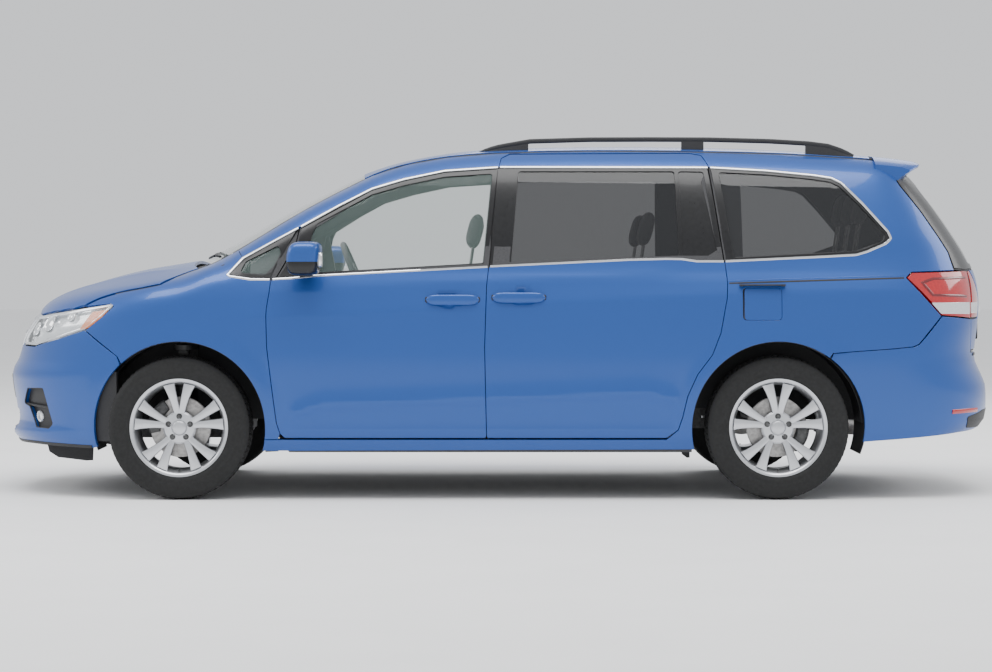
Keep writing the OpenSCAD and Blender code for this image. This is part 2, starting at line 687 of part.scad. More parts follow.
// Running gear
king_y = track / 2 - kingpin_offset;
arm_low = axle_z - 135;
arm_high = axle_z + 384;
module front_subframe() {
    color("dimgray") {
        block(X(1330), X(1860), -Y(480), Y(480), Z(280), Z(370));
        mirrored() {
            block(X(1330), X(1400), Y(400), Y(480), Z(370), Z(430));
            block(front_axle - 45, front_axle + 45, Y(470), king_y, arm_low, arm_low + 30);
            translate([front_axle, king_y, arm_low]) cylinder(h = 30, r = 45, $fn = 48);
            block(front_axle - 45, front_axle + 45, Y(440), Y(480), arm_low, Z(290));
            block(front_axle - 45, front_axle + 45, Y(400), king_y, arm_high, arm_high + 26);
            translate([front_axle, king_y, arm_high]) cylinder(h = 26, r = 45, $fn = 48);
            block(front_axle - 60, front_axle + 60, Y(400), Y(480), Z(530), arm_high + 26);
        }
    }
}
module rear_axle() {
    color("dimgray") {
        translate([rear_axle, -track / 2 + 150, axle_z]) rotate([-90, 0, 0])
            cylinder(h = track - 300, r = 44, $fn = 48);
        mirrored() {
            translate([rear_axle, track / 2 - 160, axle_z]) rotate([-90, 0, 0])
                cylinder(h = 82, r = 70, $fn = 48);
            translate([rear_axle, track / 2 - 80, axle_z]) rotate([-90, 0, 0])
                cylinder(h = 90, r = spindle_r, $fn = 48);
            block(rear_axle, X(-1000), Y(540), Y(590), axle_z - 25, axle_z + 25);
            block(X(-1000) - 50, X(-1000) + 20, Y(540), Y(590), axle_z - 25, Z(460));
        }
    }
}
module liner(x, y0, y1) {
    difference() {
        translate([x, y0, axle_z]) rotate([-90, 0, 0]) cylinder(h = y1 - y0, r = arch_r + 6, $fn = 96);
        translate([x, y0 + 6, axle_z]) rotate([-90, 0, 0]) cylinder(h = y1, r = arch_r + 1, $fn = 96);
        block(x - 900, x + 900, y0 - 1, y1 + 1, -500, axle_z + 20);
    }
}
module wheel_arch_liners() {
    color("black") mirrored() {
        difference() {
            liner(front_axle, Y(530), Y(925));
            block(front_axle - 45.3, front_axle + 45.3, Y(500), Y(560), 300, 2000);
            block(front_axle + 200, front_axle + 900, Y(760), Y(1000), 0, 1200);
        }
        difference() {
            liner(rear_axle, Y(602), Y(864));
            block(rear_axle - 80, rear_axle + 500, Y(500), Y(620), 0, axle_z + 80);
        }
    }
}
module fuel_tank() {
    color("dimgray") block(X(-700), X(100), -Y(700), Y(-60), Z(232) - 2, Z(300));
}
module exhaust() {
    color("silver") {
        translate([X(-2150), Y(250), Z(360)]) rotate([0, 90, 0]) cylinder(h = 400, r = 80, $fn = 48);
        translate([X(-2440), Y(250), Z(330)]) rotate([0, 90, 0])
            cylinder(h = X(-2150) - X(-2440), r = 30, $fn = 32);
        translate([X(-2150) + 400, Y(250), Z(330)]) rotate([0, 90, 0])
            cylinder(h = X(-1500) - X(-2150) - 400, r = 26, $fn = 32);
        block(X(-2000), X(-1960), Y(235), Y(265), Z(430), Z(460));
    }
}
module knuckle() {
    color("silver") {
        translate([front_axle, king_y, arm_low + 30.3]) cylinder(h = 80, r = 24, $fn = 48);
        translate([front_axle, king_y - 65, axle_z]) rotate([-90, 0, 0])
            cylinder(h = kingpin_offset - 15, r = 66, $fn = 48);
        translate([front_axle, king_y - 30, axle_z]) rotate([-90, 0, 0])
            cylinder(h = kingpin_offset + 45, r = spindle_r, $fn = 48);
        block(front_axle - 24, front_axle + 24, king_y - 65, king_y - 28, axle_z, arm_high - 14);
        block(front_axle - 24, front_axle + 24, king_y - 65, king_y + 20, arm_high - 18, arm_high - 6);
        translate([front_axle, king_y, arm_high - 12]) cylinder(h = 11.7, r = 20, $fn = 48);
    }
}
module knuckle_left() {
    knuckle();
}
module knuckle_right() {
    mirror([0, 1, 0]) knuckle();
}
module tyre() {
    r = tyre_d / 2;
    b = rim_d / 2 - 18;
    w = tyre_w / 2;
    color("black") rotate([-90, 0, 0]) rotate_extrude($fn = 96) polygon([
        [b, -w + 22], [b + 22, -w + 14], [b + 60, -w], [r - 60, -w + 2], [r - 24, -w + 12],
        [r - 7, -w + 30], [r, -w + 60], [r, w - 60], [r - 7, w - 30], [r - 24, w - 12],
        [r - 60, w - 2], [b + 60, w], [b + 22, w - 14], [b, w - 22], [b + 8, w - 34],
        [b + 8, -w + 34]
    ]);
}
// Twin-spoke face: a ring with five wide and five narrow windows
module wheel_face(r0, r1) {
    difference() {
        circle(r = r1 + 12, $fn = 96);
        for (s = [0 : 4]) rotate(72 * s + 90) {
            polygon([for (p = [[r0, 6], [r1, 13], [r1, -13], [r0, -6]]) [p[0], p[1]]]);
            polygon([for (p = [[r0 + 8, 32], [r1, 25], [r1 + 4, 36], [r1, 47], [r0 + 8, 40]])
                [p[0] * cos(p[1]), p[0] * sin(p[1])]]);
        }
    }
}
module wheel_disc() {
    b = rim_d / 2 - 18;
    w = tyre_w / 2;
    color("silver") rotate([-90, 0, 0]) difference() {
        union() {
            rotate_extrude($fn = 96) polygon([
                [b - 28, -w + 36], [b - 14, -w + 24], [b - 1, -w + 18], [b - 1, w - 18],
                [b - 14, w - 24], [b - 28, w - 40]
            ]);
            translate([0, 0, w - 66]) linear_extrude(34) wheel_face(84, b - 28);
            translate([0, 0, -40]) cylinder(h = w, r = 56, $fn = 64);
            translate([0, 0, -22]) cylinder(h = 24, r = 158, $fn = 96);
        }
        translate([0, 0, -100]) cylinder(h = 145, r = spindle_r + 0.5, $fn = 48);
        for (s = [0 : 4]) rotate([0, 0, 72 * s + 90]) translate([66, 0, w - 80])
            cylinder(h = 80, r = 9, $fn = 24);
    }
}
module at_wheel(x, side) {
    mirror([0, side < 0 ? 1 : 0, 0]) translate([x, track / 2, axle_z]) children();
}
module tyre_front_left() { at_wheel(front_axle, 1) tyre(); }
module tyre_front_right() { at_wheel(front_axle, -1) tyre(); }
module tyre_rear_left() { at_wheel(rear_axle, 1) tyre(); }
module tyre_rear_right() { at_wheel(rear_axle, -1) tyre(); }
module wheel_front_left() { at_wheel(front_axle, 1) wheel_disc(); }
module wheel_front_right() { at_wheel(front_axle, -1) wheel_disc(); }
module wheel_rear_left() { at_wheel(rear_axle, 1) wheel_disc(); }
module wheel_rear_right() { at_wheel(rear_axle, -1) wheel_disc(); }

// Front doors: a thin skin as large as the opening and a thicker box behind it, set in all round.
module door_skin(from, inset, thick) {
    side_wall(from, 1160, 300, nx = 12, nz = 9, inset = inset, thick = thick);
}
module front_door() {
    difference() {
        union() {
            intersection() {
                door_skin(30, 0, 18);
                side_opening(front_door_line, -shut_gap / 2);
            }
            intersection() {
                side_wall(60, 1080, 320, nx = 10, nz = 9, inset = 8);
                side_opening(front_door_line, -34);
                through_side() outline([[0, 0], [1078, 0], [1078, 1160], [800, 1800], [0, 1800]]);
            }
        }
        side_opening(front_window_line, 0);
    }
}
module front_door_left() {
    color("steelblue") front_door();
}
module front_door_right() {
    color("steelblue") mirror([0, 1, 0]) front_door();
}
module door_pane() {
    pane(front_window_line, 10, 980, 1120);
}
module door_glass_left() {
    color("lightblue") door_pane();
}
module door_glass_right() {
    color("lightblue") mirror([0, 1, 0]) door_pane();
}
module door_mirror() {
    y = Y(skin_y(950, 1160));
    difference() {
        union() {
            translate([X(955) - 45, y + 70, Z(1125)]) cube([95, 165, 165]);
            translate([X(955) - 20, y - 30, Z(1125)]) cube([50, 110, 34]);
        }
        translate([X(955) - 46, y + 82, Z(1137)]) cube([16, 141, 141]);
        door_skin(30, -0.3, 60);
    }
}
module door_mirror_left() {
    color("steelblue") door_mirror();
}
module door_mirror_right() {
    color("steelblue") mirror([0, 1, 0]) door_mirror();
}
module bonnet_sheet(thick) {
    top_sheet(1440, 2470, 0, thick, 12, 12, edge = shut_gap);
}
module bonnet() {
    color("steelblue") intersection() {
        bonnet_sheet(22);
        through_top() polygon([for (p = [
            [1556, 900], [1556, 600], [1582, 300], [1590, 0], [1582, -300], [1556, -600],
            [1556, -900], [2090, -900], [2250, -700], [2350, -500], [2392, -300], [2408, 0],
            [2392, 300], [2350, 500], [2250, 700], [2090, 900]
        ]) [X(p[0]), Y(p[1])]]);
        both_sides() outline([
            [1440, 1400], [1556, 1150], [1611, 1125], [1668, 1092], [1728, 1080], [1924, 1046],
            [2040, 1010], [2096, 972], [2240, 950], [2385, 918], [2500, 900], [2500, 1400]
        ]);
    }
}

// The tailgate meets the body sides along this line in side view
gate_shut = [
    [700, -2428], [903, -2422], [1100, -2418], [1140, -2412], [1152, -2330], [1242, -2304],
    [1313, -2259], [1450, -2167], [1583, -2063], [1640, -2030], [1700, -1980]
];
gate_window = [
    [-545, 1180], [545, 1180], [560, 1220], [520, 1540], [480, 1590], [-480, 1590],
    [-520, 1540], [-560, 1220]
];
module end_outline(points) {
    polygon([for (p = points) [Y(p[0]), Z(p[1])]]);
}
module gate_outline(grow) {
    zs = [gate_low, 903, 1140, 1152, 1242, 1313, 1450, 1583, 1640, 1700, 1800];
    offset(delta = grow) end_outline(concat(
        [for (z = zs) [skin_y(lookup(z, gate_shut), min(z, 1700)) - 3, z]],
        [for (i = [len(zs) - 1 : -1 : 0])
            [3 - skin_y(lookup(zs[i], gate_shut), min(zs[i], 1700)), zs[i]]]
    ));
}
module gate_sheet() {
    end_sheet(-1500, 126, 234, gate_low, 1680, 40, 22, 16);
}
module tailgate() {
    color("steelblue") difference() {
        intersection() {
            gate_sheet();
            through_end(X(-2700), X(-1850)) gate_outline(0);
        }
        through_end(X(-2700), X(-1850)) end_outline(gate_window);
    }
    color("steelblue") intersection() {
        top_sheet(-2120, -1931, 560, 30, 4, 10);
        through_end(X(-2700), X(-1850)) gate_outline(0);
        block(X(-2200), X(-1900), -1000, 1000, Z(1640), 3000);
    }
}
module tailgate_glass() {
    color("gray") intersection() {
        end_sheet(-1500, 126, 234, gate_low, 1680, 6, 22, 16, 4);
        through_end(X(-2700), X(-1850)) offset(delta = -0.3) end_outline(gate_window);
    }
}
module fuel_flap() {
    color("steelblue") intersection() {
        side_wall(-1450, -1200, 880, 1080, nx = 3, nz = 3, thick = 12);
        side_opening(fuel_flap_line, -shut_gap / 2);
    }
}

floor_pan();
body_side_left();
body_side_right();
roof_panel();
front_fenders();
front_bumper();
radiator_grille();
headlamps();
windscreen();
cowl_panel();
sliding_door_left();
sliding_door_right();
side_glass();
rear_bumper();
tail_lamps();
roof_rails();
dashboard();
front_seats();
second_row_seats();
third_row_seat();
engine_block();
front_subframe();
rear_axle();
wheel_arch_liners();
fuel_tank();
exhaust();
front_door_left();
front_door_right();
door_glass_left();
door_glass_right();
door_mirror_left();
door_mirror_right();
bonnet();
tailgate();
tailgate_glass();
fuel_flap();
steering_wheel();
knuckle_left();
knuckle_right();
tyre_front_left();
tyre_front_right();
tyre_rear_left();
tyre_rear_right();
wheel_front_left();
wheel_front_right();
wheel_rear_left();
wheel_rear_right();
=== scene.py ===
import json
import math
import bmesh
import bpy
import numpy as np
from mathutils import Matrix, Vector, geometry


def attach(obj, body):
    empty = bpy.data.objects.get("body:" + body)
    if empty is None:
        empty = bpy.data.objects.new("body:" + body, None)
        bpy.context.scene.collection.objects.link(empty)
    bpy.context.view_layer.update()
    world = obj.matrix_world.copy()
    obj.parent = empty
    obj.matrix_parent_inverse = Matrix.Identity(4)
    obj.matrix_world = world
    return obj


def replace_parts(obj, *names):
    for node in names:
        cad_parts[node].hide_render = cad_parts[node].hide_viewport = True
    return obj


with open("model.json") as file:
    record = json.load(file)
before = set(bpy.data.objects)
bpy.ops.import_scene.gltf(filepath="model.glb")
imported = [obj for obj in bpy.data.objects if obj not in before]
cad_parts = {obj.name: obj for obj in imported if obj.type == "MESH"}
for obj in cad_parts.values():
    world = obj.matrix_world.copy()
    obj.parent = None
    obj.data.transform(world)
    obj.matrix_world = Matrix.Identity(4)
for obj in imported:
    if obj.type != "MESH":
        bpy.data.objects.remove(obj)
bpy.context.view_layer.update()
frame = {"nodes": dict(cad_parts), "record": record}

SKIN = 4.0        # painted skins stand this far outside the CAD panels
ROLL = 2.0        # radius of a panel's rolled edge
GAP = 1.5         # half the gap between neighbouring panels
EDGE_STEP = 14.0  # spacing of points along a panel's edge
CLEAR_OF_EDGE = 0.42   # grid points nearer the edge than this share of the grid are left out
SHARP = math.radians(35)   # edges sharper than this show as creases

# ---------------------------------------------------------------- body surface, mm
TOP_LINE = [(-2300, 1706), (-2013, 1745), (-1800, 1762), (-1400, 1785), (-1000, 1797), (-600, 1800),
    (-200, 1795), (140, 1779), (460, 1729), (680, 1665), (890, 1565), (1110, 1453), (1320, 1331),
    (1450, 1256), (1545, 1205), (1620, 1191), (1860, 1154), (2080, 1098), (2290, 1027), (2385, 970),
    (2440, 906)]
BEND_BACK = [(-600, 0), (300, 40), (700, 98), (1500, 110), (1700, 60), (2000, 20), (2400, 0)]
CROSS_DROP = [(-2300, 30), (-1500, 38), (0, 38), (600, 24), (1000, 10), (1400, 12), (1650, 50), (2300, 70)]
SIDE_INSET = [(200, 84), (232, 70), (300, 40), (420, 18), (600, 4), (740, 0), (880, 6), (1000, 22),
    (1090, 46), (1150, 70), (1220, 92), (1320, 116), (1420, 148), (1520, 186), (1600, 224), (1660, 262),
    (1800, 360)]
PLAN_LOW = [(-2575, 110), (-2200, 62), (-1800, 22), (-1400, 6), (-900, 0), (900, 0), (1300, 4), (1700, 18),
    (2100, 50), (2575, 90)]
PLAN_HIGH = [(-2400, 110), (-2100, 74), (-1700, 38), (-1200, 10), (-700, 0), (300, 0), (700, 16),
    (1000, 40), (1300, 66), (1600, 80)]
NOSE_LINE = [(200, 2470), (260, 2525), (313, 2562), (357, 2536), (445, 2542), (560, 2560), (627, 2562),
    (689, 2530), (802, 2505), (853, 2482), (906, 2444), (1000, 2350), (1100, 2080)]
TAIL_LINE = [(300, 2470), (345, 2540), (400, 2570), (545, 2572), (600, 2552), (680, 2514), (730, 2510),
    (885, 2530), (1000, 2536), (1118, 2520), (1223, 2476), (1323, 2416), (1486, 2300), (1600, 2205),
    (1700, 2115), (1760, 2060)]
SEAM_LINE = [(-1930, 1718), (-1500, 1746), (-1000, 1758), (-500, 1762), (0, 1750), (250, 1730), (460, 1692),
    (640, 1636), (991, 1453), (1313, 1256), (1470, 1176), (1565, 1141), (1628, 1114), (1697, 1076),
    (1876, 1042), (2003, 1007), (2087, 966), (2200, 900)]
HALF_W = 1005.0
FRONT_AXLE, REAR_AXLE, AXLE_Z, ARCH = 1590.0, -1410.0, 360.0, 432.0
FLARE, FLARE_R, FLARE_FULL_R = 10, 545, 430
CUPS, CUP_WIDE, CUP_HIGH, CUP_DEEP = ((238, 1001), (-126,
    1012)), 62.0, 50.0, 16   # hollows behind the handles
SHOULDER, UPPER_CREASE, LOW_CREASE, SILL_CREASE, LOW_SINK = 8, 3.5, 11, 5, 4       # heights of the pressed lines


def curve(table):
    t = np.array(table, float)
    X, V = t[:, 0], t[:, 1]
    n = len(X)
    lo, hi = np.maximum(np.arange(n) - 1, 0), np.minimum(np.arange(n) + 1, n - 1)
    S = (V[hi] - V[lo]) / (X[hi] - X[lo])

    def f(x):
        x = np.asarray(x, float)
        i = np.clip(np.searchsorted(X, x, side="right") - 1, 0, n - 2)
        h = X[i + 1] - X[i]
        u = np.clip((x - X[i]) / h, 0, 1)
        return (V[i] * (2 * u**3 - 3 * u**2 + 1) + S[i] * h * (u**3 - 2 * u**2 + u)
                + V[i + 1] * (3 * u**2 - 2 * u**3) + S[i + 1] * h * (u**3 - u**2))
    return f


top_line, bend_back, cross_drop = curve(TOP_LINE), curve(BEND_BACK), curve(CROSS_DROP)
side_inset, plan_low, plan_high = curve(SIDE_INSET), curve(PLAN_LOW), curve(PLAN_HIGH)
nose_line, tail_line, seam_line = curve(NOSE_LINE), curve(TAIL_LINE), curve(SEAM_LINE)


def squircle(t, n, m):
    return np.where(t >= 1, 1 - t - 0.001, (1 - np.clip(t, 0, 1) ** n) ** (1 / m))


def side_y(x, z):
    u = np.clip((z - 1000) / 600, 0, 1)
    u = u * u * (3 - 2 * u)
    front = squircle((x - 1700) / (nose_line(z) - 1700), 2.2, 2.6)
    back = squircle((-1850 - x) / (-1850 + tail_line(z)), 3.4, 3.0)
    ends = np.where(x > 1700, front, back)
    return (HALF_W - side_inset(z) - (1 - u) * plan_low(x) - u * plan_high(x)) * ends


def top_z(x, y):
    q = (y / 700) ** 2
    return top_line(x + bend_back(x) * q) - cross_drop(x) * q


def body(x, y, z):
    a, b = np.abs(y) - side_y(x, z), z - top_z(x, y)
    return np.maximum(a, b) + np.maximum(110 - np.abs(a - b), 0) ** 2 / 440


def bisect(f, a, b):
    for _ in range(26):
        m = (a + b) / 2
        out = f(m) > 0
        b, a = np.where(out, m, b), np.where(out, a, m)
    return (a + b) / 2


def skin_y(x, z):
    x, z = np.broadcast_arrays(np.asarray(x, float), np.asarray(z, float))
    return bisect(lambda m: body(x, m, z), np.zeros(x.shape), np.full(x.shape, 1100.0))


def skin_z(x, y):
    x, y = np.broadcast_arrays(np.asarray(x, float), np.asarray(y, float))
    return bisect(lambda m: body(x, y, m), np.full(x.shape, 600.0), np.full(x.shape, 1850.0))


def soft(d, w):
    return np.sqrt(d * d + w * w) - w


def ridge(d, h, w):
    """A crease: sharp at the line, fading away from it."""
    return h * np.exp(-soft(d, 16) / w)


def step(d, w):
    u = np.clip(d / w, 0, 1)
    return u * u * (3 - 2 * u)


def relief(x, z):
    """Pressed shapes on the sides: shoulder line, lower band, arch flares, handle cups."""
    fade = step(x + 2300, 300) * step(1330 - x, 160)
    out = ridge(z - np.interp(x, [-2000, -1144, 65, 1183], [1046, 1026, 968, 915]), SHOULDER, 50) * fade
    out += ridge(z - np.interp(x, [-900, 65, 1114, 1300], [1140, 1095, 1041, 1030]), UPPER_CREASE,
        30) * step(x + 1000, 300) * step(1250 - x, 120)
    low = np.interp(x, [-895, -746, 62, 877, 1030], [507, 541, 510, 479, 429])
    inside = step(x + 930, 60) * step(1060 - x, 60)
    out += inside * (ridge(z - low, LOW_CREASE, 30) - LOW_SINK * step(low - z, 40) * step(z - 330, 60)
                     + ridge(z - 350, SILL_CREASE, 24))
    for ax in (FRONT_AXLE, REAR_AXLE):
        r = np.hypot(x - ax, z - AXLE_Z)
        out += FLARE * step(FLARE_R - r, FLARE_R - FLARE_FULL_R) * step(z - 225, 90)
    for cx, cz in CUPS:
        r = np.hypot((x - cx) / CUP_WIDE, (z - cz) / CUP_HIGH)
        out -= CUP_DEEP * np.clip(1 - r * r, 0, 1)
    return out


# ---------------------------------------------------------------- domains: 2-D outline to skin
def side(a, b, off):
    y = skin_y(a, b) + relief(a, b) + off
    return np.stack([a, y, b], -1)


def smooth_side(a, b, off):
    return np.stack([a, skin_y(a, b) + off, b], -1)


def top(a, b, off):
    return np.stack([a, b, skin_z(a, b) + off], -1)


NOSE_X, TAIL_X, DEG = 1650.0, -1500.0, 15.0


def around(px, a, z, off, sign):
    p = np.radians(a / DEG)
    c, s = np.cos(p) * sign, np.sin(p)
    r = bisect(lambda m: body(px + m * c, m * s, z), np.zeros(np.shape(a)),
        np.full(np.shape(a), 1500.0)) + off
    return np.stack([px + r * c, r * s, z], -1)


def nose(a, b, off):
    p = around(NOSE_X, a, b, off, 1)
    p[..., 1] += np.sign(p[..., 1]) * relief(p[..., 0], b) * (np.abs(a) > 60 * DEG)
    return p


def tail(a, b, off):
    return around(TAIL_X, a, b, off, -1)


def on_nose(pts):
    """Side-view points, on the left, as nose coordinates."""
    return [(float(np.degrees(math.atan2(float(skin_y(x, z)), x - NOSE_X)) * DEG), z) for x, z in pts]


def on_tail(pts):
    """Side-view points, on the left, as tail coordinates."""
    return [(float(np.degrees(math.atan2(float(skin_y(x, z)), TAIL_X - x)) * DEG), z) for x, z in pts]


def lift(dom, pts, off):
    """Points and normals of the skin at 2-D points."""
    a, b = pts[:, 0], pts[:, 1]
    P = dom(a, b, off)
    h = 1.5
    da = dom(a + h, b, off) - dom(a - h, b, off)
    db = dom(a, b + h, off) - dom(a, b - h, off)
    N = np.cross(da, db)
    N /= np.linalg.norm(N, axis=1)[:, None] + 1e-9
    out = {side: (0, 1, 0), smooth_side: (0, 1, 0), top: (0, 0, 1)}.get(dom)
    if out is None:
        c = P.copy()
        c[:, 0] -= NOSE_X if dom is nose else TAIL_X
        c[:, 2] = 0
        flip = np.sum(N * c, 1) < 0
    else:
        flip = N @ np.array(out, float) < 0
    N[flip] *= -1
    return P, N


# ---------------------------------------------------------------- outlines
def rounded(pts, r, n=4):
    out = []
    m = len(pts)
    for i in range(m):
        p, c, q = (np.array(pts[(i + k) % m], float) for k in (-1, 0, 1))
        u, v = p - c, q - c
        lu, lv = np.linalg.norm(u), np.linalg.norm(v)
        u, v = u / lu, v / lv
        ang = math.acos(max(-1, min(1, float(u @ v))))
        if ang > 2.9 or r <= 0:
            out.append(tuple(c))
            continue
        d = min(r / math.tan(ang / 2), lu * 0.45, lv * 0.45)
        a, b = c + u * d, c + v * d
        for k in range(n + 1):
            t = k / n
            out.append(tuple((1 - t) ** 2 * a + 2 * t * (1 - t) * c + t * t * b))
    return out


def densify(pts, step_mm, closed=True):
    out = []
    m = len(pts)
    for i in range(m if closed else m - 1):
        a, b = np.array(pts[i], float), np.array(pts[(i + 1) % m], float)
        k = max(1, int(math.ceil(np.linalg.norm(b - a) / step_mm)))
        out += [a + (b - a) * j / k for j in range(k)]
    if not closed:
        out.append(np.array(pts[-1], float))
    return np.array(out)


def area2(p):
    x, y = p[:, 0], p[:, 1]
    return 0.5 * float(np.sum(x * np.roll(y, -1) - np.roll(x, -1) * y))


def offset_loop(p, d):
    """Moves a closed loop inwards by d."""
    if d == 0:
        return p
    s = 1 if area2(p) > 0 else -1
    t = np.roll(p, -1, 0) - np.roll(p, 1, 0)
    t /= np.linalg.norm(t, axis=1)[:, None] + 1e-9
    return p + s * d * np.stack([-t[:, 1], t[:, 0]], 1)


def arc(cx, cz, r, a0, a1, n=40):
    turns = [math.radians(a0 + (a1 - a0) * i / n) for i in range(n + 1)]
    return [(cx + r * math.cos(t), cz + r * math.sin(t)) for t in turns]


def wheel_arc(axle, a0, a1, n):
    return arc(axle, AXLE_Z, ARCH, a0, a1, n)


def inset(pts, d, spacing=30.0):
    """A closed outline moved inwards by d, as plain points."""
    return [tuple(p) for p in offset_loop(densify(pts, spacing), d)]


def inside(pts, loop):
    x, y = pts[:, 0][:, None], pts[:, 1][:, None]
    x0, y0 = loop[:, 0], loop[:, 1]
    x1, y1 = np.roll(x0, -1), np.roll(y0, -1)
    cross = ((y0 > y) != (y1 > y)) & (x < (x1 - x0) * (y - y0) / (y1 - y0 + 1e-12) + x0)
    return (cross.sum(1) % 2) == 1


# ---------------------------------------------------------------- meshes
def make(name, verts, faces, normals=None, mat=None, mats=None, index=None, smooth=True):
    me = bpy.data.meshes.new(name)
    me.from_pydata((np.asarray(verts, float) / 1000.0).tolist(), [], [list(map(int, f)) for f in faces])
    me.update()
    ob = bpy.data.objects.new(name, me)
    bpy.context.scene.collection.objects.link(ob)
    for m in (mats or [mat]):
        me.materials.append(m)
    if index is not None:
        me.polygons.foreach_set("material_index", np.asarray(index, np.int32))
    if smooth:
        me.polygons.foreach_set("use_smooth", np.ones(len(me.polygons), bool))
        if normals is not None:
            me.normals_split_custom_set_from_vertices(np.asarray(normals, float).tolist())
        else:
            me.set_sharp_from_angle(angle=SHARP)
    return ob


def ride(ob, body_name):
    """Puts a piece on its body."""
    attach(ob, body_name)
    return ob


def sheet_mesh(dom, outline, holes=(), off=SKIN, grid=24.0, gap=GAP, roll=ROLL, back=14.0, r=0.0,
        hole_gap=0.0, hole_back=None):
    """A thin panel on a domain's skin: a flat outline, with holes, lifted and given rolled rims."""
    loops = []
    for k, pts in enumerate([outline] + list(holes)):
        p = densify(rounded(pts, r) if r > 0 else pts, EDGE_STEP)
        if area2(p) < 0:
            p = p[::-1]
        g = (gap + roll) if k == 0 else -(hole_gap + roll)
        p = offset_loop(p, g)
        if k:
            p = p[::-1]
        loops.append(p)
    lo, hi = loops[0].min(0), loops[0].max(0)
    ga, gb = np.meshgrid(np.arange(lo[0], hi[0], grid), np.arange(lo[1], hi[1], grid))
    ga = ga + (np.arange(ga.shape[0]) % 2)[:, None] * grid / 2
    q = np.stack([ga.ravel(), gb.ravel()], 1)
    keep = inside(q, loops[0])
    for h in loops[1:]:
        keep &= ~inside(q, h)
    allb = np.concatenate(loops)
    q = q[keep]
    if len(q):
        d = np.full(len(q), 1e9)
        for i in range(0, len(allb), 400):
            d = np.minimum(d, np.min(np.hypot(q[:, None, 0] - allb[None, i:i + 400, 0],
                q[:, None, 1] - allb[None, i:i + 400, 1]), 1))
        q = q[d > grid * CLEAR_OF_EDGE]
    pts = np.concatenate([allb, q]) if len(q) else allb
    edges, s = [], 0
    for L in loops:
        n = len(L)
        edges += [(s + i, s + (i + 1) % n) for i in range(n)]
        s += n
    vo, _, fo, ov, _, _ = geometry.delaunay_2d_cdt([Vector(p) for p in pts.tolist()], edges, [], 0, 1e-4)
    v2 = np.array([tuple(v) for v in vo])
    F = np.array([f for f in fo if len(f) == 3])
    c = v2[F].mean(1)
    ok = inside(c, loops[0])
    for h in loops[1:]:
        ok &= ~inside(c, h)
    F = F[ok]
    P, N = lift(dom, v2, off)
    n_in = {}
    for new, olds in enumerate(ov):
        for o in olds:
            n_in[o] = new
    verts, norms = [P], [N]
    # triangles face the way the skin's normals do
    fn = np.cross(P[F[:, 1]] - P[F[:, 0]], P[F[:, 2]] - P[F[:, 0]])
    flip = np.sum(fn * N[F[:, 0]], 1) < 0
    F[flip] = F[flip][:, ::-1]
    faces = F.tolist()
    base = len(P)
    s = 0
    for k, L in enumerate(loops):
        n = len(L)
        ids = [n_in[s + i] for i in range(n)]
        s += n
        p, nn = P[ids], N[ids]
        t = np.roll(p, -1, 0) - np.roll(p, 1, 0)
        t /= np.linalg.norm(t, axis=1)[:, None] + 1e-9
        T = np.cross(t, nn)
        # T points out of the panel
        t2 = np.roll(L, -1, 0) - np.roll(L, 1, 0)
        o2 = np.stack([t2[:, 1], -t2[:, 0]], 1)
        o2 /= np.linalg.norm(o2, axis=1)[:, None] + 1e-9
        q2 = L + o2 * 2.0
        dir3 = dom(q2[:, 0], q2[:, 1], off) - dom(L[:, 0], L[:, 1], off)
        T[np.sum(T * dir3, 1) < 0] *= -1
        depth = back if (k == 0 or hole_back is None) else hole_back
        prev = ids
        rings = [(roll * math.sin(a), roll * (1 - math.cos(a)), a)
            for a in (0.6, 1.15, math.pi / 2)] + [(roll, roll + depth, math.pi / 2)]
        for out, down, a in rings:
            verts.append(p + T * out - nn * down)
            norms.append(nn * math.cos(a) + T * math.sin(a))
            cur = list(range(base, base + n))
            base += n
            for i in range(n):
                j = (i + 1) % n
                faces.append((prev[i], prev[j], cur[j], cur[i]))
            prev = cur
    V, M = np.concatenate(verts), np.concatenate(norms)
    # rim quads face the way their own normals do
    out = []
    for f in faces:
        if len(f) == 4:
            a, b, c_, d_ = (V[i] for i in f)
            nrm = np.cross(c_ - a, d_ - b)
            if float(nrm @ (M[f[0]] + M[f[2]])) < 0:
                f = f[::-1]
        out.append(f)
    return V, out, M


def mirror_y(V, F, M):
    V, M = V.copy(), M.copy()
    V[:, 1] *= -1
    M[:, 1] *= -1
    return V, [list(f)[::-1] for f in F], M


def panel(name, dom, outline, body_name, m, sign=1, slot=None, **kw):
    V, F, M = sheet_mesh(dom, outline, **kw)
    if sign < 0:
        V, F, M = mirror_y(V, F, M)
    return ride(make(name, V, F, M, m), body_name)


def both(name, dom, outline, bodies, m, slot=None, **kw):
    """The same panel on the left and, mirrored, on the right."""
    V, F, M = sheet_mesh(dom, outline, **kw)
    a = ride(make(name + "_left", V, F, M, m), bodies[0])
    return a, ride(make(name + "_right", *mirror_y(V, F, M), m), bodies[1])


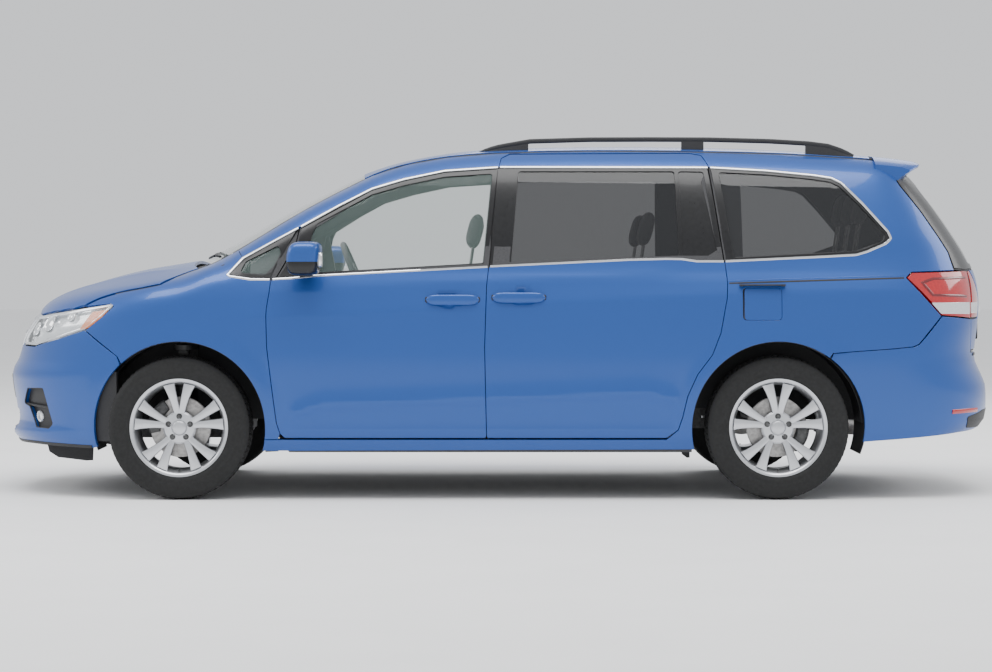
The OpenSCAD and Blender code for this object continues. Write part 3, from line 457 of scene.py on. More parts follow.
def strip(dom, path, width, height, off=SKIN, closed=False):
    """A raised strip along a 2-D path on the skin."""
    p = densify(path, 16.0, closed)
    n = len(p)
    t = (np.roll(p, -1, 0) - np.roll(p, 1, 0)) if closed else np.gradient(p, axis=0)
    t /= np.linalg.norm(t, axis=1)[:, None] + 1e-9
    nn = np.stack([-t[:, 1], t[:, 0]], 1)
    prof = [(-0.5, -4), (-0.5, 0.25), (-0.36, 0.8), (0, 1), (0.36, 0.8), (0.5, 0.25), (0.5, -4)]
    rows = []
    for w, h in prof:
        q = p + nn * w * width
        P, N = lift(dom, q, off)
        rows.append(P + N * (h * height if h > 0 else h))
    V = np.concatenate(rows)
    m = len(prof)
    F = []
    for k in range(m - 1):
        for i in range(n if closed else n - 1):
            j = (i + 1) % n
            F.append((k * n + i, k * n + j, (k + 1) * n + j, (k + 1) * n + i))
    if not closed:
        F.append([k * n for k in range(m)])
        F.append([k * n + n - 1 for k in range(m)][::-1])
    return V, F


def put(name, V, F, body_name, m, sign=1, slot=None):
    """A closed solid as a piece, mirrored to the right side where sign is -1."""
    V = np.array(V, float)
    F = [list(f) for f in F]
    if sign < 0:
        V[:, 1] *= -1
        F = [f[::-1] for f in F]
    ob = make(name, V, F, None, m)
    bm = bmesh.new()
    bm.from_mesh(ob.data)
    bmesh.ops.recalc_face_normals(bm, faces=bm.faces)
    bm.to_mesh(ob.data)
    bm.free()
    ob.data.set_sharp_from_angle(angle=SHARP)
    return ride(ob, body_name)


def pair(name, part, bodies, m):
    a = put(name + "_left", *part, bodies[0], m)
    return a, put(name + "_right", *part, bodies[1], m, -1)


# ---------------------------------------------------------------- materials
RAMP_STOPS = (0.35, 0.65)


def new_material(name):
    m = bpy.data.materials.new(name)
    m.use_nodes = True
    nt = m.node_tree
    return m, nt, nt.nodes["Principled BSDF"].inputs, nt.nodes.new("ShaderNodeTexCoord")


def add_node(nt, kind, **values):
    n = nt.nodes.new("ShaderNode" + kind)
    set_inputs(n.inputs, **values)
    return n


def set_inputs(inputs, **values):
    for key, value in values.items():
        inputs[key.replace("_", " ")].default_value = value


def noise(nt, coords, scale, detail):
    n = add_node(nt, "TexNoise", Scale=scale, Detail=detail)
    nt.links.new(coords.outputs["Object"], n.inputs["Vector"])
    return n


def wandering_roughness(nt, b, n, low, high):
    rr = add_node(nt, "MapRange", To_Min=low, To_Max=high)
    nt.links.new(n.outputs["Fac"], rr.inputs["Value"])
    nt.links.new(rr.outputs["Result"], b["Roughness"])


def mat(name, base, rough=0.5, metal=0.0, coat=0.0, coat_rough=0.03, spots=0.0, scale=40.0, bump=0.0,
        bump_scale=400.0, rough_vary=0.06, sheen=0.0, emission=0.0):
    """Colour and roughness wander a little with one noise; another gives a fine grain."""
    m, nt, b, coords = new_material(name)
    n = noise(nt, coords, scale, 3)
    ramp = nt.nodes.new("ShaderNodeValToRGB")
    for stop, at, k in zip(ramp.color_ramp.elements, RAMP_STOPS, (1 - spots, 1 + spots)):
        stop.position, stop.color = at, tuple(min(1, c * k) for c in base) + (1,)
    nt.links.new(n.outputs["Fac"], ramp.inputs["Fac"])
    nt.links.new(ramp.outputs["Color"], b["Base Color"])
    wandering_roughness(nt, b, n, max(0.0, rough - rough_vary), min(1.0, rough + rough_vary))
    set_inputs(b, Metallic=metal, Coat_Weight=coat, Coat_Roughness=coat_rough, IOR=1.45, Sheen_Weight=sheen)
    if emission:
        set_inputs(b, Emission_Color=(*base, 1), Emission_Strength=emission)
    if bump:
        grain = noise(nt, coords, bump_scale, 4)
        bp = add_node(nt, "Bump", Strength=bump, Distance=0.001)
        nt.links.new(grain.outputs["Fac"], bp.inputs["Height"])
        nt.links.new(bp.outputs["Normal"], b["Normal"])
    return m


def glass_mat(name, tint, mix):
    """A thin tinted pane: part see-through in its tint, part glossy."""
    m, nt, b, coords = new_material(name)
    wandering_roughness(nt, b, noise(nt, coords, 3, 2), 0.0, 0.03)
    set_inputs(b, Base_Color=(*tint, 1), Alpha=mix, IOR=1.45, Coat_Weight=0.15)
    return m


PAINT = mat("paint_blue", (0.016, 0.080, 0.33), 0.36, 0.35, coat=0.4, coat_rough=0.06, spots=0.10,
    scale=1400, rough_vary=0.05)
BLACK = mat("gloss_black", (0.006, 0.006, 0.007), 0.30, coat=0.1, spots=0.2, scale=60)
GRAIN = mat("grained_black", (0.022, 0.022, 0.024), 0.55, spots=0.25, scale=300, bump=0.35, bump_scale=900)
UNDER = mat("underbody_black", (0.015, 0.015, 0.016), 0.75, spots=0.4, scale=30, bump=0.5, bump_scale=160)
TRIM = mat("trim_grey", (0.16, 0.16, 0.165), 0.6, spots=0.15, scale=300, bump=0.3, bump_scale=700)
CHROME = mat("chrome_trim", (0.82, 0.83, 0.85), 0.08, 1.0, spots=0.03, scale=20, rough_vary=0.03)
TYRE = mat("tyre_rubber", (0.013, 0.013, 0.013), 0.78, spots=0.25, scale=70, bump=0.4, bump_scale=500)
SILVER = mat("wheel_silver", (0.60, 0.61, 0.63), 0.32, 0.85, coat=0.7, spots=0.05, scale=900)
METAL = mat("bare_steel", (0.36, 0.35, 0.34), 0.36, 0.9, spots=0.2, scale=60, bump=0.15)
CAST = mat("cast_iron", (0.10, 0.10, 0.10), 0.6, 0.6, spots=0.3, scale=50, bump=0.5, bump_scale=300)
CLOTH = mat("seat_cloth", (0.12, 0.12, 0.125), 0.9, spots=0.25, scale=500, bump=0.8, bump_scale=1500,
    sheen=0.4)
RED = mat("lamp_red", (0.42, 0.006, 0.010), 0.12, coat=1.0, spots=0.12, scale=90, emission=0.03)
DARK_RED = mat("lamp_red_dark", (0.14, 0.003, 0.006), 0.15, coat=1.0, spots=0.2, scale=120)
AMBER = mat("amber_reflector", (0.80, 0.20, 0.01), 0.2, coat=1.0, spots=0.12, scale=300)
CLEAR = mat("clear_lamp", (0.78, 0.80, 0.82), 0.12, 0.55, coat=1.0, spots=0.10, scale=160)
WHITE = mat("mirror_silver", (0.85, 0.86, 0.87), 0.05, 1.0, spots=0.02, scale=20, rough_vary=0.02)


PANE = glass_mat("clear_glass", (0.30, 0.40, 0.37), 0.20)
DARKPANE = glass_mat("privacy_glass", (0.020, 0.021, 0.023), 0.70)
LENS = glass_mat("lamp_lens", (0.80, 0.84, 0.86), 0.22)
PLATE = mat("blank_plate", (0.72, 0.72, 0.70), 0.45, spots=0.03, scale=30)
# dark grey cabin lining; on the CAD body panels it is also painted shade in the gaps between the skins
LINING_AND_GAP_SHADE = mat("cabin_lining_and_gap_shade", (0.055, 0.055, 0.058), 0.8, spots=0.2, scale=200, bump=0.4, bump_scale=700)
FLOOR = mat("studio_floor", (0.93, 0.93, 0.93), 0.9, spots=0.01, scale=2)

# ---------------------------------------------------------------- side outlines, mm
DOOR_FRONT_EDGE = [(1131, 1100), (1137, 1042), (1150, 960), (1152, 919), (1148, 766), (1125, 575),
    (1100, 383), (1083, 330), (1060, 308)]
B_LINE = [(50, 308), (60, 766), (50, 1072), (37, 1170), (-13, 1675)]
BELT_FRONT = [(1131, 1101), (915, 1120), (39, 1167)]
BELT_SLIDE = [(39, 1167), (-666, 1200), (-858, 1205), (-932, 1204), (-1007, 1193), (-1147, 1193)]
FRONT_TOP = [(-13, 1675), (262, 1657), (468, 1613), (633, 1564), (995, 1367)]
SLIDE_REAR = [(-1049, 1738), (-1076, 1691), (-1081, 1668), (-1145, 1193), (-1157, 1084), (-1153, 1010),
    (-1120, 836), (-1078, 728), (-1003, 628), (-954, 520), (-929, 413), (-908, 350), (-850, 308)]
QUARTER_LOOP = [(-1147, 1193), (-1648, 1217), (-1812, 1226), (-1870, 1243), (-1967, 1284), (-1994, 1310),
    (-1980, 1345), (-1856, 1490), (-1756, 1594), (-1707, 1619), (-1619, 1633), (-1374, 1657), (-1083, 1674)]
LIGHT_LOOP = [(1131, 1101), (1233, 1102), (1356, 1123), (1279, 1212), (995, 1367)]

side_frame = (
    [(1279, 1212), (1313, 1253)] + [(x, float(seam_line(x)) - 1)
        for x in (1188, 991, 800, 640, 460, 250, 0, -250, -500, -1000, -1500, -1930)]
    + [(-1980, 1700), (-2030, 1640), (-2063, 1583), (-2167, 1450), (-2259, 1313), (-2304, 1242),
        (-2330, 1148)]
    + [(-2091, 1140), (-2060, 1112), (-2243, 918), (-2119, 777), (-2089, 765), (-1967, 754), (-1680, 734)]
    + wheel_arc(REAR_AXLE, 126, -15, 50) + wheel_arc(FRONT_AXLE, 196, 188, 3)
    + [(1150, 301), (1092, 301), (1060, 301), (-850, 301)] + SLIDE_REAR[::-1][1:]
        + [(-990, 1750), (-69, 1746), (-25, 1722), (-13, 1676)]
    + FRONT_TOP[1:])
# the pillar's painted boundary follows the quarter window's bright strip
i0 = side_frame.index((-1145, 1193))
i1 = side_frame.index((-1081, 1668))
side_frame = side_frame[:i0] + QUARTER_LOOP + side_frame[i1 + 1:]
fender = (
    [(1131, 1100), (1233, 1102), (1356, 1123), (1279, 1212), (1313, 1253)]
        + [(x, float(seam_line(x)) - 1) for x in (1400, 1470, 1520, 1565, 1628, 1697, 1790, 1876, 1940,
        2003, 2050, 2087)]
    + [(1943, 981), (1925, 968), (1983, 915), (2073, 846), (1900, 716)] + wheel_arc(FRONT_AXLE, 48, 188, 60)
        + [(1150, 301), (1092, 301)] + DOOR_FRONT_EDGE[::-1][1:-1])
front_door = BELT_FRONT + B_LINE[::-1][2:] + DOOR_FRONT_EDGE[::-1][:-1]
slide_low = BELT_SLIDE + SLIDE_REAR[4:] + [B_LINE[0], B_LINE[1], B_LINE[2]]
slide_top = [(-13, 1677), (-25, 1722), (-69, 1745), (-990, 1750), (-1049, 1738), (-1076, 1691),
    (-1081, 1677)]
FLAP = [(-1231, 898), (-1427, 898), (-1427, 1063), (-1231, 1063)]

BODY2 = ("body", "body")
DOORS = ("door_left", "door_right")
GATE2 = ("liftgate", "liftgate")
panel("side_frame_left", side, side_frame, "body", PAINT, holes=[rounded(FLAP, 22)])
panel("side_frame_right", side, side_frame, "body", PAINT, sign=-1)
both("fender_skin", side, fender, BODY2, PAINT)
both("front_door_skin", side, front_door, DOORS, PAINT, r=14)
both("slide_door_skin", side, slide_low, BODY2, PAINT, r=12)
both("slide_door_top", side, slide_top, BODY2, PAINT)
panel("fuel_flap_skin", side, [(x - 7 * (x > -1300), z) for x, z in FLAP], "flap", PAINT, r=22, back=3)

# ---------------------------------------------------------------- roof, bonnet
def seam_y(x):
    return skin_y(x, seam_line(x))


xs = [680, 640, 560, 460, 250, 0, -250, -500, -750, -1000, -1250, -1500, -1750, -1925]
edge = [(x, float(seam_y(x)) - 1) for x in xs]
roof = edge + [(-1935, 400), (-1940, 0), (-1935, -400)] + [(x, -y) for x, y in edge[::-1]] + [(690, -450),
    (700, -200), (702, 0), (700, 200), (690, 450)]
panel("roof_skin", top, roof, "body", PAINT, gap=2.0, grid=40)


def lamp_top(x):
    """Height of the lamp's upper edge, seen from the side."""
    return 909 + (2385 - x) * 0.163


hx = [1522, 1556, 1590, 1628, 1697, 1790, 1876, 1940, 2003, 2050, 2087]
lamp_xs = [2150, 2230, 2300, 2350, 2375]
edge = [(x, float(seam_y(x)) - 3) for x in hx]
half = edge + [(x, float(skin_y(x, lamp_top(x) + 3))) for x in lamp_xs] + [(2402, 200), (2408, 0)]
bonnet = half + [(x, -y) for x, y in half[::-1][1:]] + [(1566, -500), (1580, -250), (1586, 0), (1580, 250),
    (1566, 500)]


def bonnet_top(a, b, off):
    """The top skin with the bonnet's two long creases."""
    p = top(a, b, off)
    x, y = a, np.abs(b)
    line = np.interp(x, [1560, 2400], [560, 330])
    fade = step(x - 1600, 200) * step(2390 - x, 200)
    p[..., 2] += fade * (ridge(y - line, 7, 60) - 3 * step(line - y, 120))
    return p


panel("bonnet_skin", bonnet_top, bonnet, "hood", PAINT, grid=30)

# ---------------------------------------------------------------- windscreen and glass
wx = [690, 800, 991, 1150, 1313, 1400, 1450]
we = [(x, float(seam_y(x)) - 22) for x in wx]
screen = we + [(1500, 420), (1530, 200), (1538, 0), (1530, -200), (1500, -420)] + [(x, -y) for x,
    y in we[::-1]] + [(706, -300), (710, 0), (706, 300)]
ws = panel("windscreen_glass", top, screen, "body", PANE, off=0.5, gap=0, roll=1.0, back=4, grid=60)
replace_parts(ws, "windscreen")


# black window frames with glass set back in them
PANE_CORNER, GLASS_LAP = 16, 6
front_open = [(-8, 1665)] + [(x, z - 10) for x, z in FRONT_TOP[1:-1]] + [(986, 1360), (1002, 1276),
    (1066, 1160), (1098, 1112)] + [(915, 1132), (46, 1178)]
front_glass = [(66, 1186), (20, 1640), (262, 1624), (466, 1580), (632, 1532), (905, 1384), (930, 1330),
    (948, 1250), (930, 1142), (915, 1138)]
slide_open = [(-6, 1668), (-1075, 1668), (-1140, 1200), (-1007, 1200), (-932, 1211), (-858, 1212),
    (-666, 1207), (34, 1174)]
slide_glass = [(-72, 1186), (-112, 1652), (-905, 1652), (-918, 1218), (-858, 1220), (-666, 1214)]
slide_glass2 = [(-936, 1220), (-924, 1652), (-1052, 1650), (-1112, 1210), (-1007, 1208)]
quarter_open = inset(QUARTER_LOOP, 7)
quarter_glass = [(-1192, 1212), (-1648, 1236), (-1815, 1246), (-1870, 1262), (-1955, 1300), (-1966, 1325),
    (-1950, 1352), (-1838, 1480), (-1746, 1574), (-1700, 1598), (-1612, 1612), (-1374, 1636), (-1130, 1648)]
light_open = inset(LIGHT_LOOP, 7)
light_glass = [(1290, 1135), (1262, 1192), (1098, 1275), (1085, 1230), (1130, 1140), (1170, 1125)]
for nm, opening, panes, bodies in (
        ("front_window_frame", front_open, [front_glass], DOORS),
        ("slide_window_frame", slide_open, [slide_glass, slide_glass2], BODY2),
        ("quarter_window_frame", quarter_open, [quarter_glass], BODY2),
        ("quarter_light_frame", light_open, [light_glass], BODY2)):
    both(nm, smooth_side, opening, bodies, BLACK, "body_paint",
        holes=[rounded(g, PANE_CORNER) for g in panes],
         off=1.5, gap=1.0, roll=1.2, back=10, hole_back=8, hole_gap=0)
for nm, pane, bodies, m, stands_for in (
        ("front_window_glass", front_glass, DOORS, PANE, ("door_glass_left", "door_glass_right")),
        ("slide_window_glass", slide_glass, BODY2, DARKPANE, ("side_glass",)),
        ("slide_window_rear_glass", slide_glass2, BODY2, BLACK, ()),
        ("quarter_window_glass", quarter_glass, BODY2, DARKPANE, ()),
        ("quarter_light_glass", light_glass, BODY2, PANE, ())):
    made = both(nm, smooth_side, inset(rounded(pane, PANE_CORNER), -GLASS_LAP, 20), bodies, m,
                "dark_glass" if m is BLACK else None, off=-4.0, gap=0, roll=0.6, back=3.5, grid=60)
    for ob, old in zip(made, stands_for):
        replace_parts(ob, old)

# bright window surround
for nm, path, bodies in (
        ("belt_strip_front", [(1122, 1103), (1020, 1109), (915, 1120), (46, 1166)], DOORS),
        ("belt_strip_slide", [(32, 1168), (-666, 1201), (-858, 1206), (-932, 1205), (-1007, 1194),
            (-1141, 1194)], BODY2),
        ("belt_strip_quarter", [(-1151, 1194)] + QUARTER_LOOP[1:-1] + [(-1090, 1673)], BODY2),
        ("top_strip_slide", [(-1076, 1673), (-19, 1675)], BODY2),
        ("top_strip_front", [(-7, 1674), (262, 1656), (468, 1612), (633, 1563), (800, 1476), (988, 1370)],
            DOORS),
        ("light_strip", [(1002, 1363), (1140, 1288), (1279, 1211), (1352, 1126), (1340, 1119), (1233, 1103),
            (1138, 1102)], BODY2)):
    pair(nm, strip(smooth_side, path, 12, 3.0, off=3.0), bodies, CHROME)

# ---------------------------------------------------------------- solids
def grid_faces(m, n, close_m=False):
    """Quads of m rings of n points each."""
    return [(i * n + j, i * n + (j + 1) % n, (i + 1) % m * n + (j + 1) % n, (i + 1) % m * n + j)
            for i in range(m if close_m else m - 1) for j in range(n)]


def loft(rings, caps=True):
    n, m = len(rings[0]), len(rings)
    F = grid_faces(m, n)
    if caps:
        F += [list(range(n))[::-1], [(m - 1) * n + k for k in range(n)]]
    return np.concatenate([np.asarray(r, float) for r in rings]), F


def lathe(profile, n=64):
    """Turns a closed ring of (radius, y) points about the Y axis."""
    p = np.array(profile, float)
    t = np.linspace(0, 2 * math.pi, n, endpoint=False)[:, None]
    V = np.stack([p[None, :, 0] * np.cos(t), np.broadcast_to(p[None, :, 1], (n, len(p))),
        p[None, :, 0] * np.sin(t)], -1)
    return V.reshape(-1, 3), grid_faces(n, len(p), True)


def prism(outline, y0, y1, bevel=2.0, axis="y"):
    """A plate with bevelled edges: an outline carried from y0 to y1."""
    p = np.array(outline, float)
    q = offset_loop(p, bevel)
    order = {"y": (0, 2, 1), "x": (2, 0, 1), "z": (0, 1, 2)}[axis]
    rings = []
    for r, y in ((q, y0), (p, y0 + bevel), (p, y1 - bevel), (q, y1)):
        rings.append(np.concatenate([r, np.full((len(r), 1), y)], 1)[:, order])
    return loft(rings)


def blob(c, h, e=0.4, n=18, m=32):
    """A rounded box, as a superellipsoid of half sizes h about c."""
    f = lambda w: np.sign(w) * np.abs(w) ** e
    t = np.linspace(0, 2 * math.pi, m, endpoint=False)
    rings = []
    for u in np.linspace(-math.pi / 2 + 0.03, math.pi / 2 - 0.03, n):
        k = f(np.cos(u))
        rings.append(np.stack([c[0] + h[0] * k * f(np.cos(t)), c[1] + h[1] * k * f(np.sin(t)),
            np.full(m, c[2] + h[2] * f(np.sin(u)))], -1))
    return loft(rings)


def sweep(path, section, up=(0, 0, 1)):
    """Carries a (sideways, up) section along a 3-D path."""
    p = np.array(path, float)
    t = np.gradient(p, axis=0)
    t /= np.linalg.norm(t, axis=1)[:, None]
    s = np.cross(t, up)
    s /= np.linalg.norm(s, axis=1)[:, None]
    u = np.cross(s, t)
    return loft([p[i] + np.array([s[i] * a + u[i] * b for a, b in section]) for i in range(len(p))])


def oval(w, h, n=12, e=0.6):
    f = lambda v: math.copysign(abs(v) ** e, v)
    return [(w / 2 * f(math.cos(2 * math.pi * k / n)), h / 2 * f(math.sin(2 * math.pi * k / n)))
        for k in range(n)]


def merge(parts):
    V, F, s = [], [], 0
    for v, f in parts:
        V.append(v)
        F += [[i + s for i in q] for q in f]
        s += len(v)
    return np.concatenate(V), F


def stud(dom, a, b, off, profile, n=32):
    """A turned piece that stands on the skin at (a, b)."""
    V, F = lathe(profile, n)
    P, N = lift(dom, np.array([[a, b]], float), off)
    y = N[0]
    x = np.cross(y, (0, 0, 1))
    x /= np.linalg.norm(x)
    return P[0] + V[:, :1] * x + V[:, 1:2] * y + V[:, 2:] * np.cross(x, y), F


# ---------------------------------------------------------------- wheels
TRACK_Y = 865.0
TYRE_R, TREAD_HALF, CROWN = 360, 92, 7     # the tread drops by CROWN at its edges
GROOVE, SHOULDER_CUT, BLOCK_CUT, TREAD_BLOCKS = 8, 6, 3.5, 72
SPOKE_PAIRS, TWIN = 5, (8.5, 13.5)          # degrees from a pair's middle, at the hub and at the rim
SPOKE_TURN, TOP, HUB_R, RIM_R = 72, 90, 66, 222
NUT_CIRCLE, VALVE_R = 57, 214.0


def tyre_mesh():
    """A tyre whose profile is carried round, with grooves and staggered blocks cut in its tread."""
    wall = [(352, 99), (344, 107), (324, 114), (320, 113), (302, 117), (284, 117), (272, 115), (268, 116),
        (256, 112), (246, 107), (238, 100), (234, 84)]
    ys = [92, 84, 72, 58, 57, 48, 47, 36, 26, 25, 16, 15, 0]
    ys = ys + [-y for y in ys[-2::-1]]
    n = TREAD_BLOCKS * 4
    rings = []
    for k in range(n):
        t = 2 * math.pi * k / n
        prof = wall[::-1]
        for y in ys:
            a = abs(y)
            r = TYRE_R - CROWN * (a / TREAD_HALF) ** 4
            if 47.5 < a < 57.5 or 15.5 < a < 25.5:
                r -= GROOVE
            elif (a >= 58 and k % 4 == 0) or (a <= 15 and k % 4 == 2) or (26 <= a <= 47 and k % 4 == 1):
                r -= SHOULDER_CUT if a >= 58 else BLOCK_CUT
            prof.append((r, y))
        prof += [(r, -y) for r, y in wall]
        rings.append([(r * math.cos(t), y, r * math.sin(t)) for r, y in prof])
    m = len(rings[0])
    return np.array(rings).reshape(-1, 3), grid_faces(n, m, True)


def wheel_mesh():
    """Rim barrel, hub, centre cap and five pairs of spokes."""
    parts = [lathe([(246, 109), (249, 102), (240, 92), (226, 70), (220, 30), (218, -50), (226, -84),
        (247, -98), (246, -106), (236, -106), (216, -88), (209, -50), (211, 30), (216, 74), (228, 99),
        (237, 107)], 96)]
    parts.append(lathe([(1, 58), (76, 58), (84, 66), (82, 80), (74, 88), (40, 90), (35, 86), (1, 86)], 60))
    parts.append(lathe([(1, 85), (31, 85), (31.5, 93), (28, 96), (12, 98), (1, 98)], 48))
    for k in range(SPOKE_PAIRS):
        for s in (-1, 1):
            rings = []
            for r, w, yf, th in ((66, 34, 86, 26), (90, 34, 92, 26), (120, 37, 97, 25), (155, 43, 101, 24),
                    (190, 50, 103, 24), (222, 60, 100, 22)):
                a = math.radians(TOP + SPOKE_TURN * k + s * (TWIN[0]
                    + (TWIN[1] - TWIN[0]) * (r - HUB_R) / (RIM_R - HUB_R)))
                sec = [(-w / 2, yf - 7), (-w / 2 + 3, yf - 2), (-w / 2 + 8, yf), (w / 2 - 8, yf),
                    (w / 2 - 3, yf - 2), (w / 2, yf - 7), (w / 2 - 4, yf - th), (-w / 2 + 4, yf - th)]
                rings.append([(r * math.cos(a) - q * math.sin(a), y, r * math.sin(a) + q * math.cos(a))
                    for q, y in sec])
            parts.append(loft(rings))
    return merge(parts)


def lug_mesh():
    """Five wheel nuts in their seats, and the tyre valve."""
    parts = []
    for k in range(SPOKE_PAIRS):
        a = math.radians(TOP + SPOKE_TURN * k)
        for prof, n in (([(1, 87), (14, 87), (15, 90), (13, 91), (12, 89.6), (1, 89.6)], 24),
                ([(1, 88), (9.5, 88), (9.5, 97), (7, 99), (1, 99)], 6)):
            v, f = lathe(prof, n)
            parts.append((v + np.array([NUT_CIRCLE * math.cos(a), 0, NUT_CIRCLE * math.sin(a)]), f))
    v, f = lathe([(1, 74), (4.5, 74), (4.5, 96), (3, 99), (1, 99)], 16)
    parts.append((v + np.array([0, 0, -VALVE_R]), f))
    return merge(parts)


def caliper_mesh(a0, a1):
    """A brake caliper from angle a0 to a1 on the disc."""
    rings = []
    for k in range(13):
        u = k / 12
        a = math.radians(a0 + (a1 - a0) * u)
        g = 1 - 0.18 * abs(2 * u - 1) ** 4
        sec = [(98, -24), (104, -32), (150, -32), (162, -22), (164, 40), (158, 54), (150, 60), (108, 60),
            (100, 54), (98, 40)]
        rings.append([((130 + (r - 130) * g) * math.cos(a), y * g, (130 + (r - 130) * g) * math.sin(a))
            for r, y in sec])
    return loft(rings)


TYRE_PART, WHEEL_PART, LUG_PART = tyre_mesh(), wheel_mesh(), lug_mesh()
DISC_PART = merge([
    lathe([(70, 6), (150, 6), (152, 8), (152, 14), (144, 15), (144, 21), (152, 22), (152, 28), (150, 30),
        (70, 30)], 72),
    lathe([(1, 10), (78, 10), (80, 28), (76, 52), (1, 54)], 48)])
for end, ax, arc_range in (("front", FRONT_AXLE, (-12, 58)), ("rear", REAR_AXLE, (168, 232))):
    for s, sd in ((1, "left"), (-1, "right")):
        body_name = "wheel_" + end[0] + sd[0]
        at = np.array([ax, TRACK_Y, AXLE_Z])
        for nm, (V, F), m, slot in (("tyre", TYRE_PART, TYRE, None), ("wheel", WHEEL_PART, SILVER, None),
                                    ("wheel_nuts", LUG_PART, CAST, None),
                                        ("brake_disc", DISC_PART, METAL, "cast_metal")):
            ob = put("%s_%s_%s_look" % (nm, end, sd), V + at, F, body_name, m, s, slot)
            if nm in ("tyre", "wheel"):
                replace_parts(ob, "%s_%s_%s" % (nm, end, sd))
        V, F = caliper_mesh(*arc_range)
        put("brake_caliper_%s_%s" % (end, sd), V + at, F, "upright_" + sd if end == "front" else "body",
            CAST, s)


# ---------------------------------------------------------------- front end
def across(px, sign, y, z):
    """The angle coordinate of the skin point that lies y off centre at height z."""
    a = np.linspace(0, 1340, 300)
    return float(np.interp(y, around(px, a, np.full(300, float(z)), 0, sign)[:, 1], a))


def fy(y, z):
    return across(NOSE_X, 1, y, z), z


def ry(y, z):
    return across(TAIL_X, -1, y, z), z


def both_halves(half):
    """Closes a loop that starts and ends on the centre line."""
    return half + [(-a, z) for a, z in half[1:-1][::-1]]


def flip(pts):
    return [(-a, z) for a, z in pts]


def both_ways(half):
    """A line from right to left, from its left half, which starts on the centre line."""
    return flip(half[1:])[::-1] + half


def band(y, z0, z1, r):
    """A rounded oblong on the nose, 2 y wide."""
    half = [fy(y, z0), fy(y, z1)]
    return rounded(half + flip(half)[::-1], r)


def edge_nose(x, y, drop=6):
    """A nose coordinate a little below the bonnet's edge."""
    return math.degrees(math.atan2(y, x - NOSE_X)) * DEG, float(skin_z(x, y)) - drop


FOG = rounded(on_nose([(2410, 544), (2311, 549), (2256, 366), (2280, 341), (2361, 344), (2401, 448),
    (2440, 463)]), 14)
intake_side = [fy(430, 425), fy(350, 300)]
INTAKE = rounded(intake_side + [(0, 298)] + flip(intake_side)[::-1] + [(0, 432)], 20)
bumper_half = [(0, 688), fy(322, 688), fy(398, 758)] + on_nose([(2373, 757), (2223, 800), (2075, 847),
    (1900, 717)] + wheel_arc(FRONT_AXLE, 47, -14, 26) + [(2034, 250), (2344, 254)]) + [fy(300, 256),
    (0, 256)]
bumper = panel("front_bumper_skin", nose, both_halves(bumper_half), "body", PAINT,
               holes=[FOG, flip(FOG), INTAKE], grid=30, hole_back=24)
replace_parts(bumper, "front_bumper")
core = both_halves([(0, 680), fy(318, 680), (1120, 640), (1120, 285), (0, 272)])
panel("front_bumper_core", nose, core, "body", GRAIN, off=-20, grid=60, back=20)
for z in (322, 348, 374, 400):
    w = float(np.interp(z, [300, 425], [335, 415]))
    put("intake_slat_%d" % z, *strip(nose, both_ways([(0, z), fy(w, z)]), 9, 12, off=-14), "body", BLACK)
pair("fog_blade", strip(nose, on_nose([(2272, 448), (2350, 455), (2426, 461)]), 15, 14, off=-16), BODY2,
    GRAIN)
pair("fog_rim", strip(nose, FOG, 7, 2.5, off=SKIN - 3, closed=True), BODY2, GRAIN)
pair("fog_lamp", stud(nose, *on_nose([(2352, 400)])[0], -22,
    [(1, 8), (18, 7), (24, 5), (25, 9), (28, 10), (30, 6), (28, -6), (1, -6)], 40), BODY2, CLEAR)
lip = both_ways([(0, 262), fy(400, 263)] + on_nose([(2380, 266), (2200, 262), (2040, 258)]))
put("front_lip", *strip(nose, lip, 16, 6, off=SKIN - 1), "body", GRAIN)
plate_shape = rounded([(-260, 0), (260, 0), (260, 112), (-260, 112)], 10)
panel("front_plate", nose, band(256, 484, 596, 8), "body", PLATE, off=SKIN + 5, gap=0, back=4, grid=60)
panel("front_plate_holder", nose, band(264, 476, 604, 12), "body", GRAIN, off=SKIN + 3, gap=0, back=5,
    grid=60)

grille_half = [edge_nose(2411, 0, 8), edge_nose(2404, 200, 8), edge_nose(2387, 370, 8),
    edge_nose(2371, 424, 8), fy(398, 764), fy(326, 694), (0, 694)]
gr = panel("grille_back", nose, both_halves(grille_half), "body", GRAIN, off=-26, grid=60, gap=0, back=8)
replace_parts(gr, "radiator_grille")
for k, z in enumerate((892, 858, 824, 790, 758, 728)):
    w = float(np.interp(z, [694, 764, 908], [318, 388, 418]))
    path = both_ways([(0, z - 5), fy(w / 2, z - 3), fy(w, z)])
    if k % 2 == 0:
        put("grille_bar_%d" % (k // 2), *strip(nose, path, 25, 16, off=-8), "body", CHROME)
    else:
        put("grille_slat_%d" % (k // 2), *strip(nose, path, 8, 12, off=-16), "body", BLACK)
put("grille_surround", *strip(nose, both_halves(grille_half), 12, 5, off=SKIN - 4, closed=True), "body",
    CHROME)

